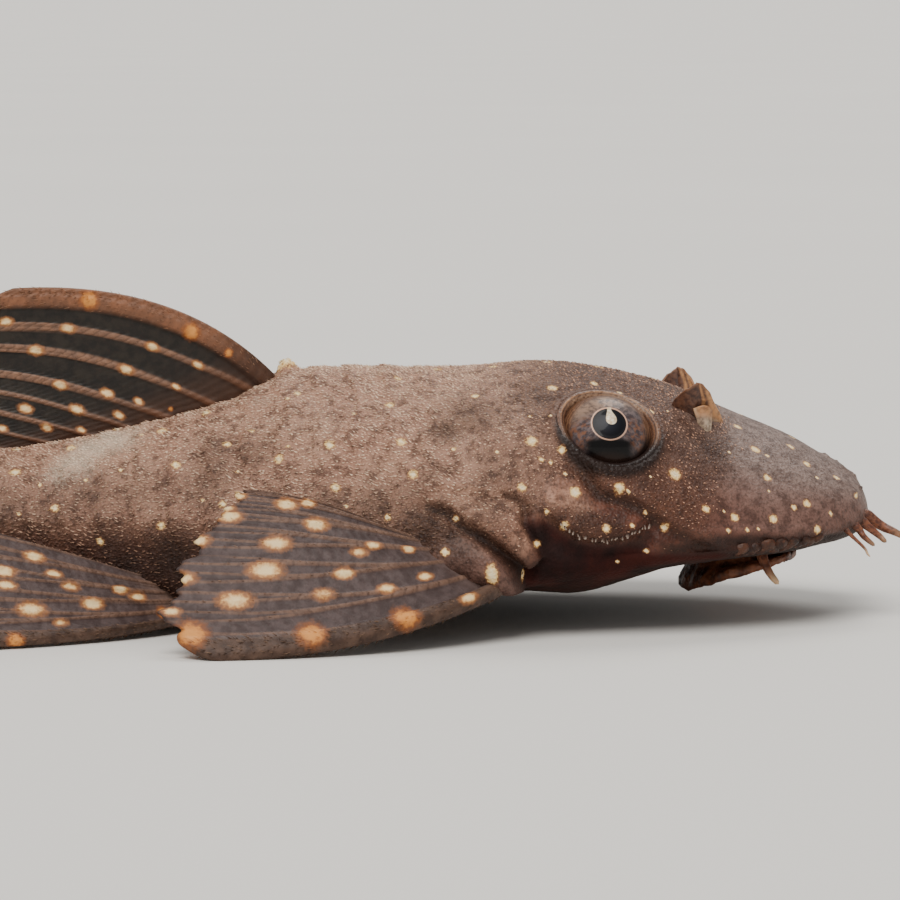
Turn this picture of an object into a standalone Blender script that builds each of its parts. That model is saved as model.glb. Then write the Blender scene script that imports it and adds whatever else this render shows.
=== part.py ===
"""A bristlenose pleco, life size, resting on the floor on its fins and belly.

All sizes below are millimetres; a mesh is scaled to metres when it is made.
A place on the fish is (s, y, z): s is the distance back from the snout tip
along the spine, y the distance to the fish's left and z the height above the
floor. The function place() bends the tail and turns s into the world's X,
with the head towards +X and the origin on the floor under the belly.
"""

import math

import bmesh
import bpy
from mathutils import Vector

MM = 0.001
GAP = 0.3
WELD = 0.002
SHARP_ANGLE = math.radians(40)

# Main lengths along the spine
BODY_LENGTH = 75.0
ORIGIN_S = 39.5
NECK_S = 22.3
TAIL_S = 51.0

# The cut behind the head leans back on top, as the gill opening does
NECK_LEAN = 4.5
NECK_LEAN_REACH = 8.0

# The tail swings to the fish's left along one arc, and its end is rounded over this length
SWING_START_S = 50.0
SWING_RADIUS = 135.0
TAIL_ROUND = 1.3

# Body shape: (s, value) stations of smooth curves
TOP_Z = [(0, 8.5), (2, 9.1), (5, 10.7), (9, 12.4), (13, 14.0), (19, 15.1), (25, 14.8), (34.5, 14.6),
         (38.5, 12.9), (45, 11.2), (52, 10.0), (62, 9.4), (70, 9.3), (75, 9.9)]
BOTTOM_Z = [(0, 4.8), (2, 4.5), (5, 4.0), (12.5, 3.2), (17.5, 1.6), (21.5, 1.75), (27, 1.2), (33, 0.1),
            (38, -0.25), (43, -0.15), (47, 0.5), (55, 1.2), (68, 1.5), (75, 1.5)]
EDGE_Z = [(0, 5.9), (4, 5.4), (10, 4.9), (20, 5.0), (30, 4.6), (45, 5.0), (60, 5.4), (75, 5.7)]
HALF_WIDTH = [(0, 10.3), (8, 10.2), (16, 11.6), (24, 12.3), (34, 10.2), (46, 6.8), (58, 4.4), (68, 3.2),
              (75, 2.6)]
UPPER_ROUNDNESS = [(0, 2.0), (6, 1.85), (16, 1.8), (36, 1.8), (50, 2.0), (75, 2.2)]
LOWER_ROUNDNESS = [(0, 2.2), (12, 2.0), (22, 2.2), (38, 3.0), (50, 2.4), (75, 2.2)]
SNOUT_BLUNT_SIDE = 2.0
SNOUT_BLUNT_PLAN = 13.0

# Bony plates of the trunk: rows round each half, and each plate's relief along the row
PLATES_START_S = 27.0
PLATE_PITCH = 2.1
PLATE_ROWS = 6
PLATE_POINT = 0.55
PLATE_RISE = 0.24
PLATE_GROOVE = 0.10
PLATE_EDGE_SHARE = 0.35
PLATE_CREST_SHARE = 0.88
BELLY_ANGLE = 0.80 * math.pi
BELLY_END_S = 48.0


def smooth_curve(stations, s):
    """The value at s of a smooth curve through (s, value) stations."""
    if s <= stations[0][0]:
        return stations[0][1]
    if s >= stations[-1][0]:
        return stations[-1][1]
    i = 0
    while stations[i + 1][0] < s:
        i += 1

    def slope(k):
        low, high = max(k - 1, 0), min(k + 1, len(stations) - 1)
        return (stations[high][1] - stations[low][1]) / (stations[high][0] - stations[low][0])

    (s0, v0), (s1, v1) = stations[i], stations[i + 1]
    width = s1 - s0
    f = (s - s0) / width
    return (
        v0 * (2 * f**3 - 3 * f**2 + 1)
        + slope(i) * width * (f**3 - 2 * f**2 + f)
        + v1 * (3 * f**2 - 2 * f**3)
        + slope(i + 1) * width * (f**3 - f**2)
    )


def blunt(s, length):
    """Rises from 0 at the snout tip to 1 at the given length, as a quarter ellipse."""
    if s >= length:
        return 1.0
    return math.sqrt(max(0.0, 1 - (1 - max(s, 0.0) / length) ** 2))


def section(s):
    """The body's cross section at s: half width, top, widest level, bottom and the two exponents."""
    edge = smooth_curve(EDGE_Z, s)
    nose = blunt(s, SNOUT_BLUNT_SIDE)
    return (
        smooth_curve(HALF_WIDTH, s) * blunt(s, SNOUT_BLUNT_PLAN),
        edge + (smooth_curve(TOP_Z, s) - edge) * nose,
        edge,
        edge + (smooth_curve(BOTTOM_Z, s) - edge) * nose,
        smooth_curve(UPPER_ROUNDNESS, s),
        smooth_curve(LOWER_ROUNDNESS, s),
    )


def smooth_body(s, angle):
    """The body without its plates: angle is 0 on the back and pi under the belly, negative on the right."""
    half, top, edge, bottom, upper, lower = section(s)
    sine = math.sin(angle)
    side = math.copysign(1.0, sine) if abs(sine) > 1e-9 else 0.0
    across, up = abs(sine), math.cos(angle)
    power = 2 / (upper if up >= 0 else lower)
    reach = (top - edge) if up >= 0 else (edge - bottom)
    return Vector((s, side * half * across**power, edge + math.copysign(reach * abs(up) ** power, up)))


def body_normal(s, angle):
    """The direction out of the smooth body, by small steps along and around it."""
    step = 0.02
    along = smooth_body(s + step, angle) - smooth_body(s - step, angle)
    around = smooth_body(s, angle + step) - smooth_body(s, angle - step)
    return along.cross(around).normalized()


def plate_crest(angle):
    """1 along the middle of a row of plates and 0 in the groove between two rows."""
    return 0.5 - 0.5 * math.cos(2 * PLATE_ROWS * abs(angle))


def plate_relief(s, angle):
    """How far the plates stand proud: each rises backwards and ends in a step, as shingles do."""
    on_belly = abs(angle) > BELLY_ANGLE and s < BELLY_END_S
    if s < PLATES_START_S - PLATE_PITCH or on_belly:
        return 0.0
    crest = plate_crest(angle)
    turn = ((s - PLATE_POINT * crest - PLATES_START_S) / PLATE_PITCH) % 1.0
    if turn < PLATE_CREST_SHARE:
        rise = turn / PLATE_CREST_SHARE
    else:
        rise = (1 - turn) / (1 - PLATE_CREST_SHARE)
    fade = min(1.0, (s - PLATES_START_S + PLATE_PITCH) / (2 * PLATE_PITCH))
    raised = PLATE_RISE * rise * (PLATE_EDGE_SHARE + (1 - PLATE_EDGE_SHARE) * crest)
    return fade * (raised - PLATE_GROOVE * (1 - crest))


def body_point(s, angle, grow=0.0):
    """A point of the body's surface with its plates, moved out by grow."""
    out = plate_relief(s, angle) + grow
    if out == 0.0:
        return smooth_body(s, angle)
    return smooth_body(s, angle) + body_normal(s, angle) * out


def place(point):
    """From (s, y, z) in millimetres to the world in metres: bends the tail and keeps above the floor."""
    s, y, z = point
    z = max(z, 0.0)
    if s <= SWING_START_S:
        return Vector((ORIGIN_S - s, y, z)) * MM
    turn = (s - SWING_START_S) / SWING_RADIUS
    back = SWING_START_S + (SWING_RADIUS - y) * math.sin(turn)
    left = SWING_RADIUS - (SWING_RADIUS - y) * math.cos(turn)
    return Vector((ORIGIN_S - back, left, z)) * MM


def finish(name, colour, roughness):
    """A plain finish shared by the sub-parts that have it: colour is linear red, green, blue."""
    made = bpy.data.materials.new(name)
    made.use_nodes = True
    shader = made.node_tree.nodes["Principled BSDF"]
    shader.inputs["Base Color"].default_value = (*colour, 1.0)
    shader.inputs["Roughness"].default_value = roughness
    shader.inputs["Metallic"].default_value = 0.0
    return made


def shade(mesh):
    """Smooth shading, with hard edges where the surface turns sharply."""
    mesh.shade_smooth()
    mesh.set_sharp_from_angle(angle=SHARP_ANGLE)


def add_to_scene(name, mesh):
    made = bpy.data.objects.new(name, mesh)
    bpy.context.scene.collection.objects.link(made)
    return made


def closed_object(name, points, faces, surface=None):
    """An object from placed points and the faces of a closed surface, turned to face out."""
    mesh = bpy.data.meshes.new(name)
    mesh.from_pydata(points, [], faces)
    bm = bmesh.new()
    bm.from_mesh(mesh)
    bmesh.ops.recalc_face_normals(bm, faces=bm.faces)
    bm.to_mesh(mesh)
    bm.free()
    shade(mesh)
    if surface is not None:
        mesh.materials.append(surface)
    return add_to_scene(name, mesh)


def loft(name, rings, surface=None):
    """A closed surface through rings of equal size; a ring of one point closes to a tip."""
    points = []
    starts = []
    for ring in rings:
        starts.append(len(points))
        points.extend(place(p) for p in ring)
    faces = []
    for k in range(len(rings) - 1):
        a, b = starts[k], starts[k + 1]
        size_a, size_b = len(rings[k]), len(rings[k + 1])
        size = max(size_a, size_b)
        for i in range(size):
            n = (i + 1) % size
            if size_a == 1:
                faces.append((a, b + n, b + i))
            elif size_b == 1:
                faces.append((a + i, a + n, b))
            else:
                faces.append((a + i, a + n, b + n))
                faces.append((a + i, b + n, b + i))
    for ring, start in ((rings[0], starts[0]), (rings[-1], starts[-1])):
        if len(ring) > 1:
            centre = len(points)
            points.append(sum(points[start:start + len(ring)], Vector()) / len(ring))
            faces += [(start + i, start + (i + 1) % len(ring), centre) for i in range(len(ring))]
    return closed_object(name, points, faces, surface)


def tube(name, path, radii, sides, surface=None):
    """A tapered tube along a path of (s, y, z) points, closed at both ends."""
    rings = []
    across = (path[1] - path[0]).orthogonal()
    for i, (p, radius) in enumerate(zip(path, radii)):
        ahead = path[min(i + 1, len(path) - 1)] - path[max(i - 1, 0)]
        ahead.normalize()
        across = (across - ahead * across.dot(ahead)).normalized()
        up = ahead.cross(across)
        turns = [2 * math.pi * k / sides for k in range(sides)]
        rings.append([p + (across * math.cos(a) + up * math.sin(a)) * radius for a in turns])
    return loft(name, rings, surface)


def ball(name, centre, radius, segments, rings, stretch=(1, 1, 1)):
    """A round or stretched ball round a point given in (s, y, z)."""
    bm = bmesh.new()
    bmesh.ops.create_uvsphere(bm, u_segments=segments, v_segments=rings, radius=radius * MM)
    bmesh.ops.scale(bm, vec=stretch, verts=bm.verts)
    bmesh.ops.translate(bm, vec=place(centre), verts=bm.verts)
    mesh = bpy.data.meshes.new(name)
    bm.to_mesh(mesh)
    bm.free()
    shade(mesh)
    return add_to_scene(name, mesh)


def arc_between(start, bend, end, f):
    """A point at share f of a curve from start to end, drawn towards bend."""
    g = 1 - f
    return start * g * g + bend * 2 * f * g + end * f * f


def keep_largest(mesh):
    """Deletes every closed surface of the mesh but the one with the most volume."""
    bm = bmesh.new()
    bm.from_mesh(mesh)
    bmesh.ops.triangulate(bm, faces=bm.faces)
    bmesh.ops.remove_doubles(bm, verts=bm.verts, dist=WELD * MM)
    left = set(bm.faces)
    shells = []
    while left:
        shell = {left.pop()}
        waiting = list(shell)
        while waiting:
            for edge in waiting.pop().edges:
                joined = edge.link_faces if len(edge.link_faces) == 2 else ()
                fresh = [face for face in joined if face in left]
                left.difference_update(fresh)
                shell.update(fresh)
                waiting += fresh
        volume = 0.0
        for face in shell:
            a, b, c = (v.co for v in face.verts)
            volume += a.dot(b.cross(c)) / 6
        shells.append((volume, shell))
    best = max(shells, key=lambda item: item[0])[1]
    bmesh.ops.delete(bm, geom=[f for f in bm.faces if f not in best], context="FACES")
    bm.to_mesh(mesh)
    bm.free()


def boolean(obj, others, operation):
    """Joins or cuts obj with the others, applies it, and removes them. Only the largest surface stays."""
    group = bpy.data.collections.new("boolean_group")
    for other in others:
        group.objects.link(other)
    modifier = obj.modifiers.new("shape", "BOOLEAN")
    modifier.operation = operation
    modifier.operand_type = "COLLECTION"
    modifier.collection = group
    modifier.solver = "EXACT"
    bpy.context.view_layer.update()
    graph = bpy.context.evaluated_depsgraph_get()
    mesh = bpy.data.meshes.new_from_object(obj.evaluated_get(graph))
    obj.modifiers.clear()
    keep_largest(mesh)
    shade(mesh)
    old, obj.data = obj.data, mesh
    bpy.data.meshes.remove(old)
    mesh.name = obj.name
    for other in others:
        bpy.data.objects.remove(other)
    bpy.data.collections.remove(group)


# Rings of the body

def end_share(t):
    """How much of its section the body keeps at station t: it is rounded off at the tail's end."""
    into = (t - (BODY_LENGTH - TAIL_ROUND)) / TAIL_ROUND
    return math.sqrt(1 - 0.75 * min(into, 1.0) ** 2) if into > 0 else 1.0


def body_ring(t, half_count, grow=0.0):
    """One ring of the body at station t, moved out by grow."""
    lean = NECK_LEAN * math.exp(-(((t - NECK_S) / NECK_LEAN_REACH) ** 2))
    share = end_share(t)
    ring = []
    for j in range(2 * half_count):
        angle = math.pi * j / half_count
        if angle > math.pi:
            angle -= 2 * math.pi
        s = t + lean * math.cos(angle)
        if t > PLATES_START_S:
            s += PLATE_POINT * plate_crest(angle) * share**4
        if share < 1.0:
            s += grow
        p = body_point(s, angle, grow)
        centre = smooth_curve(EDGE_Z, s)
        ring.append(Vector((p.x, p.y * share, centre + (p.z - centre) * share)))
    return ring


HEAD_NEAR_STATIONS = [0.12, 0.4, 0.85, 1.45, 2.2, 3.1, 4.1]
HEAD_FAR_COUNT = 18


def head_stations():
    """Stations of the head: close together round the blunt snout, then evenly to the neck."""
    start, end = HEAD_NEAR_STATIONS[-1], NECK_S - GAP / 2
    even = [start + (end - start) * (i + 1) / HEAD_FAR_COUNT for i in range(HEAD_FAR_COUNT)]
    return HEAD_NEAR_STATIONS + even


def plate_stations(start, end):
    """Stations at the foot and the crest of each plate between start and end."""
    found = []
    for k in range(int((end - PLATES_START_S) / PLATE_PITCH) + 1):
        foot = PLATES_START_S + k * PLATE_PITCH
        found += [t for t in (foot, foot + PLATE_CREST_SHARE * PLATE_PITCH) if start + GAP < t < end - GAP]
    return found


def tail_end_stations():
    """Stations that round off the end of the tail."""
    return [BODY_LENGTH - TAIL_ROUND * (1 - share) for share in (0.0, 0.5, 0.85, 1.0)]


KEEP_OUT_HALF_COUNT = 24


def keep_out():
    """The whole body in one closed surface, moved out by the gap: the space that fins stay clear of."""
    tip = Vector((-GAP, 0, smooth_curve(EDGE_Z, 0)))
    ends = tail_end_stations()
    stations = [*head_stations(), *plate_stations(NECK_S, ends[0]), *ends]
    return loft("keep_out", [[tip], *(body_ring(t, KEEP_OUT_HALF_COUNT, GAP) for t in stations)])


# Eyes

EYE_S = 16.4
EYE_ANGLE = 0.246 * math.pi
EYE_RADIUS = 2.9
EYE_SINK = 1.25
EYE_RIM_RADIUS = 2.95
EYE_RIM_THICK = 0.42
EYE_RIM_AROUND = 20
EYE_RIM_ACROSS = 5


def head_frame(s, share, side):
    """A point of the head and three directions there: out, back and round the body."""
    angle = side * share
    out = body_normal(s, angle)
    back = (Vector((1, 0, 0)) - out * out.x).normalized()
    return smooth_body(s, angle), out, back, out.cross(back) * side


def eye_centre(side):
    """Centre of the eyeball, sunk under the skin."""
    centre, out, _, _ = head_frame(EYE_S, EYE_ANGLE, side)
    return centre - out * EYE_SINK


def eye_rim(side):
    """The raised ring of skin round one eye."""
    centre, out, back, round_body = head_frame(EYE_S, EYE_ANGLE, side)
    points = []
    faces = []
    for i in range(EYE_RIM_AROUND):
        turn = 2 * math.pi * i / EYE_RIM_AROUND
        spoke = back * math.cos(turn) + round_body * math.sin(turn)
        for j in range(EYE_RIM_ACROSS):
            tilt = 2 * math.pi * j / EYE_RIM_ACROSS
            reach = EYE_RIM_RADIUS + EYE_RIM_THICK * math.cos(tilt)
            points.append(place(centre + spoke * reach + out * EYE_RIM_THICK * math.sin(tilt)))
            a, b = i * EYE_RIM_ACROSS, (i + 1) % EYE_RIM_AROUND * EYE_RIM_ACROSS
            n = (j + 1) % EYE_RIM_ACROSS
            faces.append((a + j, b + j, b + n, a + n))
    return closed_object("rim", points, faces)


def build_eyes(surface):
    for name, side in (("eye_left", 1), ("eye_right", -1)):
        eye = ball(name, eye_centre(side), EYE_RADIUS, segments=20, rings=12)
        eye.data.materials.append(surface)


# Tentacles of the snout's edge: s, share of the half turn, length, droop and spread
TENTACLES = [(0.5, 0.50, 2.4, 0.35, 0.05), (1.2, 0.55, 1.8, 0.60, 0.25), (2.2, 0.53, 2.7, 0.80, 0.30),
             (3.6, 0.57, 1.3, 0.85, 0.45), (5.2, 0.58, 1.0, 0.80, 0.60), (6.9, 0.58, 1.1, 0.80, 0.75),
             (8.8, 0.59, 0.8, 0.75, 0.85)]
TENTACLE_RADIUS = 0.32
TENTACLE_TAPER = 0.62
TENTACLE_ROOT = 0.5


def tentacle(s, share, length, droop, spread, side):
    """One soft tentacle of the snout: its root is sunk in the head and its tip hangs forwards and down."""
    root, out, _, _ = head_frame(s, share * math.pi, side)
    hang = Vector((spread - 1.0, side * (0.35 + 0.5 * spread), -droop)).normalized()
    bend = root + out * (0.45 * length)
    tip = bend + hang * (0.65 * length)
    shares = (0.15, 0.45, 0.75, 1.0)
    path = [root - out * TENTACLE_ROOT, *(arc_between(root, bend, tip, f) for f in shares)]
    radii = [TENTACLE_RADIUS, *(TENTACLE_RADIUS * (1 - TENTACLE_TAPER * f) for f in shares)]
    return tube("tentacle", path, radii, sides=5)


# Spines of the cheek: they fringe the lower rear edge of a small plate. Places are (s, share of the half turn)
CHEEK_COUNT = 11
CHEEK_START = Vector((19.8, 0.412))
CHEEK_LOW = Vector((17.2, 0.500))
CHEEK_END = Vector((14.4, 0.447))
CHEEK_SPINE_LENGTH = 0.95
CHEEK_SPINE_RADIUS = 0.27
CHEEK_SPINE_TIP = 0.07
CHEEK_SPINE_ROOT = 0.45
CHEEK_PLATE = (17.2, 0.44)
CHEEK_PLATE_SINK = 0.55
CHEEK_PLATE_SIZE = (2.8, 0.95, 1.3)


def cheek_spine(f, side):
    """One spine of the cheek fringe, f from 0 at its upper rear end to 1 at its front end."""
    s, share = arc_between(CHEEK_START, CHEEK_LOW, CHEEK_END, f)
    root, out, _, _ = head_frame(s, share * math.pi, side)
    lie = Vector((0.75 - 0.6 * f, 0, -0.8)).normalized()
    ahead = (out * 0.55 + lie * 0.9).normalized()
    length = CHEEK_SPINE_LENGTH * (0.75 + 0.4 * math.sin(math.pi * f))
    path = [root - out * CHEEK_SPINE_ROOT, root + ahead * 0.35 * length, root + ahead * length]
    return tube("cheek_spine", path, [CHEEK_SPINE_RADIUS, 0.85 * CHEEK_SPINE_RADIUS, CHEEK_SPINE_TIP], sides=5)


def cheek_plate(side):
    """The small raised plate of the cheek that carries the spines."""
    s, share = CHEEK_PLATE
    centre, out, _, _ = head_frame(s, share * math.pi, side)
    return ball("cheek_plate", centre - out * CHEEK_PLATE_SINK, 1.0, 14, 7, CHEEK_PLATE_SIZE)


# Nostrils: a pit in the head, and a folded flap that stands at its outer side, highest in the middle
NOSTRIL_S = 10.65
NOSTRIL_ANGLE = 0.138 * math.pi
NOSTRIL_PIT_RADIUS = 0.62
NOSTRIL_PIT_RISE = 0.15
FLAP_HALF_LENGTH = 1.3
FLAP_HALF_WIDTH = 0.85
FLAP_HEIGHT = 2.0
FLAP_LOW_SHARE = 0.22
FLAP_POINT = 1.8
FLAP_ROOT = 0.5
FLAP_THICK = 0.5
FLAP_TURN = (-25, 205)
FLAP_COLUMNS = 9
FLAP_ROWS = 2


def nostril_pit(side):
    """Cutter for the nostril's opening."""
    centre, out, _, _ = head_frame(NOSTRIL_S, NOSTRIL_ANGLE, side)
    return ball("nostril_pit", centre + out * NOSTRIL_PIT_RISE, NOSTRIL_PIT_RADIUS, 10, 6)


def build_nostril_flaps(surface):
    for name, side in (("nostril_flap_left", 1), ("nostril_flap_right", -1)):
        centre, out, back, outwards = head_frame(NOSTRIL_S, NOSTRIL_ANGLE, side)
        outer, inner = [], []
        for i in range(FLAP_COLUMNS + 1):
            f = i / FLAP_COLUMNS
            turn = math.radians(FLAP_TURN[0] + (FLAP_TURN[1] - FLAP_TURN[0]) * f)
            spoke = back * math.cos(turn) * FLAP_HALF_LENGTH + outwards * math.sin(turn) * FLAP_HALF_WIDTH
            across = spoke.normalized() * FLAP_THICK / 2
            peak = math.sin(math.pi * f) ** FLAP_POINT
            height = FLAP_HEIGHT * (FLAP_LOW_SHARE + (1 - FLAP_LOW_SHARE) * peak)
            rises = [-FLAP_ROOT + (height + FLAP_ROOT) * j / FLAP_ROWS for j in range(FLAP_ROWS + 1)]
            outer.append([centre + spoke + across + out * rise for rise in rises])
            inner.append([centre + spoke - across + out * rise for rise in rises])
        flap = sheet(name, outer, inner, surface)
        boolean(flap, [keep_out()], "DIFFERENCE")


# Sucker mouth under the snout: a disc of two lips, low at the rear, with a slot between them
MOUTH_S = 8.1
MOUTH_HALF_LENGTH = 3.9
MOUTH_HALF_WIDTH = 5.2
MOUTH_RINGS = 7
MOUTH_AROUND = 32
LIP_FRONT_Z = 3.1
LIP_REAR_Z = 1.75
LIP_DROOP = 1.6
LIP_THICK = 0.65
LIP_THIN = 0.45
LIP_SCALLOP = 0.025
LIP_SCALLOPS = 8
LIP_FOLD = 0.22
LIP_FOLD_TURN = 1.6 * math.pi
LIP_FOLD_RISE = 0.10
MOUTH_SLOT_SHIFT = 0.5
MOUTH_SLOT_WIDTH = 0.8
MOUTH_SLOT_LENGTH = 2.9
MOUTH_SLOT_DEPTH = 0.9
MOUTH_DOME = 1.6


def underside(s, y):
    """Height of the head's underside at s and y."""
    half, _, edge, bottom, _, lower = section(s)
    share = min(1.0, abs(y) / half)
    return edge - (edge - bottom) * (1 - share**lower) ** (1 / lower)


def lip_pair(r, turn):
    """The lower and upper point of the lips at share r of the disc's radius."""
    reach = r * (1 + LIP_SCALLOP * math.cos(LIP_SCALLOPS * turn) * r**4)
    back = MOUTH_HALF_LENGTH * reach * math.cos(turn)
    y = MOUTH_HALF_WIDTH * reach * math.sin(turn)
    s = MOUTH_S + back
    along = max(0.0, (back / MOUTH_HALF_LENGTH + 1) / 2)
    level = LIP_FRONT_Z + (LIP_REAR_Z - LIP_FRONT_Z) * along**LIP_DROOP
    level += LIP_FOLD_RISE + LIP_FOLD * math.cos(LIP_FOLD_TURN * r)
    slot = math.exp(-(((back + MOUTH_SLOT_SHIFT) / MOUTH_SLOT_WIDTH) ** 2) - (y / MOUTH_SLOT_LENGTH) ** 4)
    roof = underside(s, y) - GAP
    low = min(level + MOUTH_SLOT_DEPTH * slot, roof - LIP_THIN)
    high = max(low + LIP_THIN, min(roof, level + LIP_THICK + MOUTH_DOME * (1 - r * r)))
    return Vector((s, y, low)), Vector((s, y, high))


def build_mouth(surface):
    turns = [2 * math.pi * j / MOUTH_AROUND for j in range(MOUTH_AROUND)]
    lows, highs = [], []
    for i in range(1, MOUTH_RINGS + 1):
        pairs = [lip_pair(i / MOUTH_RINGS, turn) for turn in turns]
        lows.append([low for low, _ in pairs])
        highs.append([high for _, high in pairs])
    low, high = lip_pair(0, 0)
    mouth = loft("mouth_disc", [[low], *lows, *reversed(highs), [high]], surface)
    boolean(mouth, [keep_out()], "DIFFERENCE")


# One short barbel at each corner of the mouth, clear of the lips
BARBEL_ROOT = Vector((7.3, 6.1, 4.5))
BARBEL_BEND = Vector((7.2, 6.9, 3.2))
BARBEL_TIP = Vector((6.4, 7.1, 2.1))
BARBEL_RADIUS = 0.5
BARBEL_TAPER = 0.65
BARBEL_STEPS = 6


def build_barbels(surface):
    for name, side in (("barbel_left", 1), ("barbel_right", -1)):
        root, bend, tip = mirrored((BARBEL_ROOT, BARBEL_BEND, BARBEL_TIP), side)
        shares = [k / (BARBEL_STEPS - 1) for k in range(BARBEL_STEPS)]
        path = [arc_between(root, bend, tip, f) for f in shares]
        radii = [BARBEL_RADIUS * (1 - BARBEL_TAPER * f) for f in shares]
        barbel = tube(name, path, radii, 7, surface)
        boolean(barbel, [keep_out()], "DIFFERENCE")


HEAD_HALF_COUNT = 18


def build_head(surface):
    """Skull, snout and cheeks with the eye rings, tentacles and cheek spines fused on."""
    tip = Vector((0, 0, smooth_curve(EDGE_Z, 0)))
    rings = [[tip], *(body_ring(t, HEAD_HALF_COUNT) for t in head_stations())]
    head = loft("head", rings, surface)
    pieces = []
    for side in (1, -1):
        pieces += [eye_rim(side), cheek_plate(side)]
        pieces += [tentacle(*row, side) for row in TENTACLES]
        pieces += [cheek_spine(k / (CHEEK_COUNT - 1), side) for k in range(CHEEK_COUNT)]
    boolean(head, pieces, "UNION")
    sockets = [ball("socket", eye_centre(side), EYE_RADIUS + GAP, 26, 16) for side in (1, -1)]
    pits = [nostril_pit(side) for side in (1, -1)]
    boolean(head, sockets + pits, "DIFFERENCE")


# Small saddle-shaped bone in front of the back fin's spine
LOCK_S = 34.6
LOCK_SINK = 0.15
LOCK_SIZE = (0.8, 1.0, 0.6)

TRUNK_HALF_COUNT = 2 * PLATE_ROWS


def build_torso(surface):
    start, end = NECK_S + GAP / 2, TAIL_S - GAP / 2
    stations = [start, start + PLATE_PITCH, *plate_stations(start + PLATE_PITCH, end), end]
    torso = loft("torso", [body_ring(t, TRUNK_HALF_COUNT) for t in stations], surface)
    centre = smooth_body(LOCK_S, 0.0) - Vector((0, 0, LOCK_SINK))
    boolean(torso, [ball("dorsal_lock", centre, 1.0, 14, 8, LOCK_SIZE)], "UNION")


def build_tail(surface):
    start = TAIL_S + GAP / 2
    ends = tail_end_stations()
    stations = [start, *plate_stations(start, ends[0]), *ends]
    loft("tail", [body_ring(t, TRUNK_HALF_COUNT) for t in stations], surface)


# Fins: each is a sheet with its rays raised on both faces

MEMBRANE_THICK = 0.5
RAY_THICK = 0.85
FIN_EDGE_THICK = 0.36
RAY_TAPER = 0.45
RAY_SIDE = 0.22
FIN_NOTCH = 0.05
NORMAL_STEP = 0.04

# Columns across a spine, as (place in rays, share of the ridge)
SPINE_COLUMNS = [(-0.22, 0.25), (-0.10, 0.85), (0.08, 1.0), (0.25, 0.25)]


def bezier(controls, f):
    """A point at share f of a cubic curve with four control points."""
    a, b, c, d = controls
    g = 1 - f
    return a * g**3 + b * 3 * g * g * f + c * 3 * g * f * f + d * f**3


def between(first, last, f, bulge=0.0):
    """Control points part of the way from one ray's to another's; bulge lengthens the middle rays."""
    mixed = [a.lerp(b, f) for a, b in zip(first, last)]
    mixed[3].x += bulge * math.sin(math.pi * min(max(f, 0.0), 1.0))
    return mixed


def swayed(controls, amount, phase):
    """Control points moved sideways, more towards the tip."""
    for share, p in zip((0, 0.12, 0.45, 1.0), controls):
        p.y += amount * share * math.sin(phase)
    return controls


def mirrored(points, side):
    return [Vector((p.x, p.y * side, p.z)) for p in points]


def ray(*rows):
    """The four control points of a ray, each (s, y, z)."""
    return [Vector(row) for row in rows]


def fin_columns(rays, has_spine):
    """Places across a fin, counted in rays: at each ray and beside it. Each is (place, share of the ridge)."""
    columns = list(SPINE_COLUMNS) if has_spine else [(0.0, 1.0), (RAY_SIDE, 0.0)]
    for i in range(1, rays - 1):
        columns += [(i - RAY_SIDE, 0.0), (float(i), 1.0), (i + RAY_SIDE, 0.0)]
    return columns + [(rays - 1 - RAY_SIDE, 0.0), (rays - 1.0, 0.75)]


def build_fin(name, curve, rays, steps, surface, spine=None):
    """A fin of the given rays. curve(u) gives the control points of the ray at place u, counted in rays.

    spine is the thickness of a stout first ray, or None where the first ray is soft.
    """
    columns = fin_columns(rays, spine is not None)

    def middle(u, f):
        web = 0.5 - 0.5 * math.cos(2 * math.pi * max(u, 0.0))
        return bezier(curve(u), f * (1 - FIN_NOTCH * web))

    tops, bottoms = [], []
    for k, (u, ridge) in enumerate(columns):
        before, after = columns[max(k - 1, 0)][0], columns[min(k + 1, len(columns) - 1)][0]
        full = spine if spine and k < len(SPINE_COLUMNS) else RAY_THICK
        top_row, bottom_row = [], []
        for j in range(steps + 1):
            f = j / steps
            along = middle(u, min(f + NORMAL_STEP, 1.0)) - middle(u, max(f - NORMAL_STEP, 0.0))
            out = along.cross(middle(after, f) - middle(before, f)).normalized()
            thick = MEMBRANE_THICK + (full - MEMBRANE_THICK) * ridge * (1 - RAY_TAPER * f)
            if j == steps or k in (0, len(columns) - 1):
                thick = max(FIN_EDGE_THICK, 0.62 * thick)
            top_row.append(middle(u, f) + out * thick / 2)
            bottom_row.append(middle(u, f) - out * thick / 2)
        tops.append(top_row)
        bottoms.append(bottom_row)
    fin = sheet(name, tops, bottoms, surface)
    boolean(fin, [keep_out()], "DIFFERENCE")


def sheet(name, tops, bottoms, surface):
    """A closed sheet from two grids of points, both split into triangles along the same diagonals."""
    columns, rows = len(tops), len(tops[0])
    points = [place(p) for column in tops + bottoms for p in column]
    under = columns * rows

    def at(i, j):
        return i * rows + j

    faces = []
    for i in range(columns - 1):
        for j in range(rows - 1):
            for half in (
                (at(i, j), at(i + 1, j), at(i + 1, j + 1)),
                (at(i, j), at(i + 1, j + 1), at(i, j + 1)),
            ):
                faces += [half, tuple(under + v for v in reversed(half))]
    rim = [at(i, 0) for i in range(columns)] + [at(columns - 1, j) for j in range(1, rows)]
    rim += [at(i, rows - 1) for i in range(columns - 2, -1, -1)] + [at(0, j) for j in range(rows - 2, 0, -1)]
    for a, b in zip(rim, rim[1:] + rim[:1]):
        faces += [(a, b, under + b), (a, under + b, under + a)]
    return closed_object(name, points, faces, surface)


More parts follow.
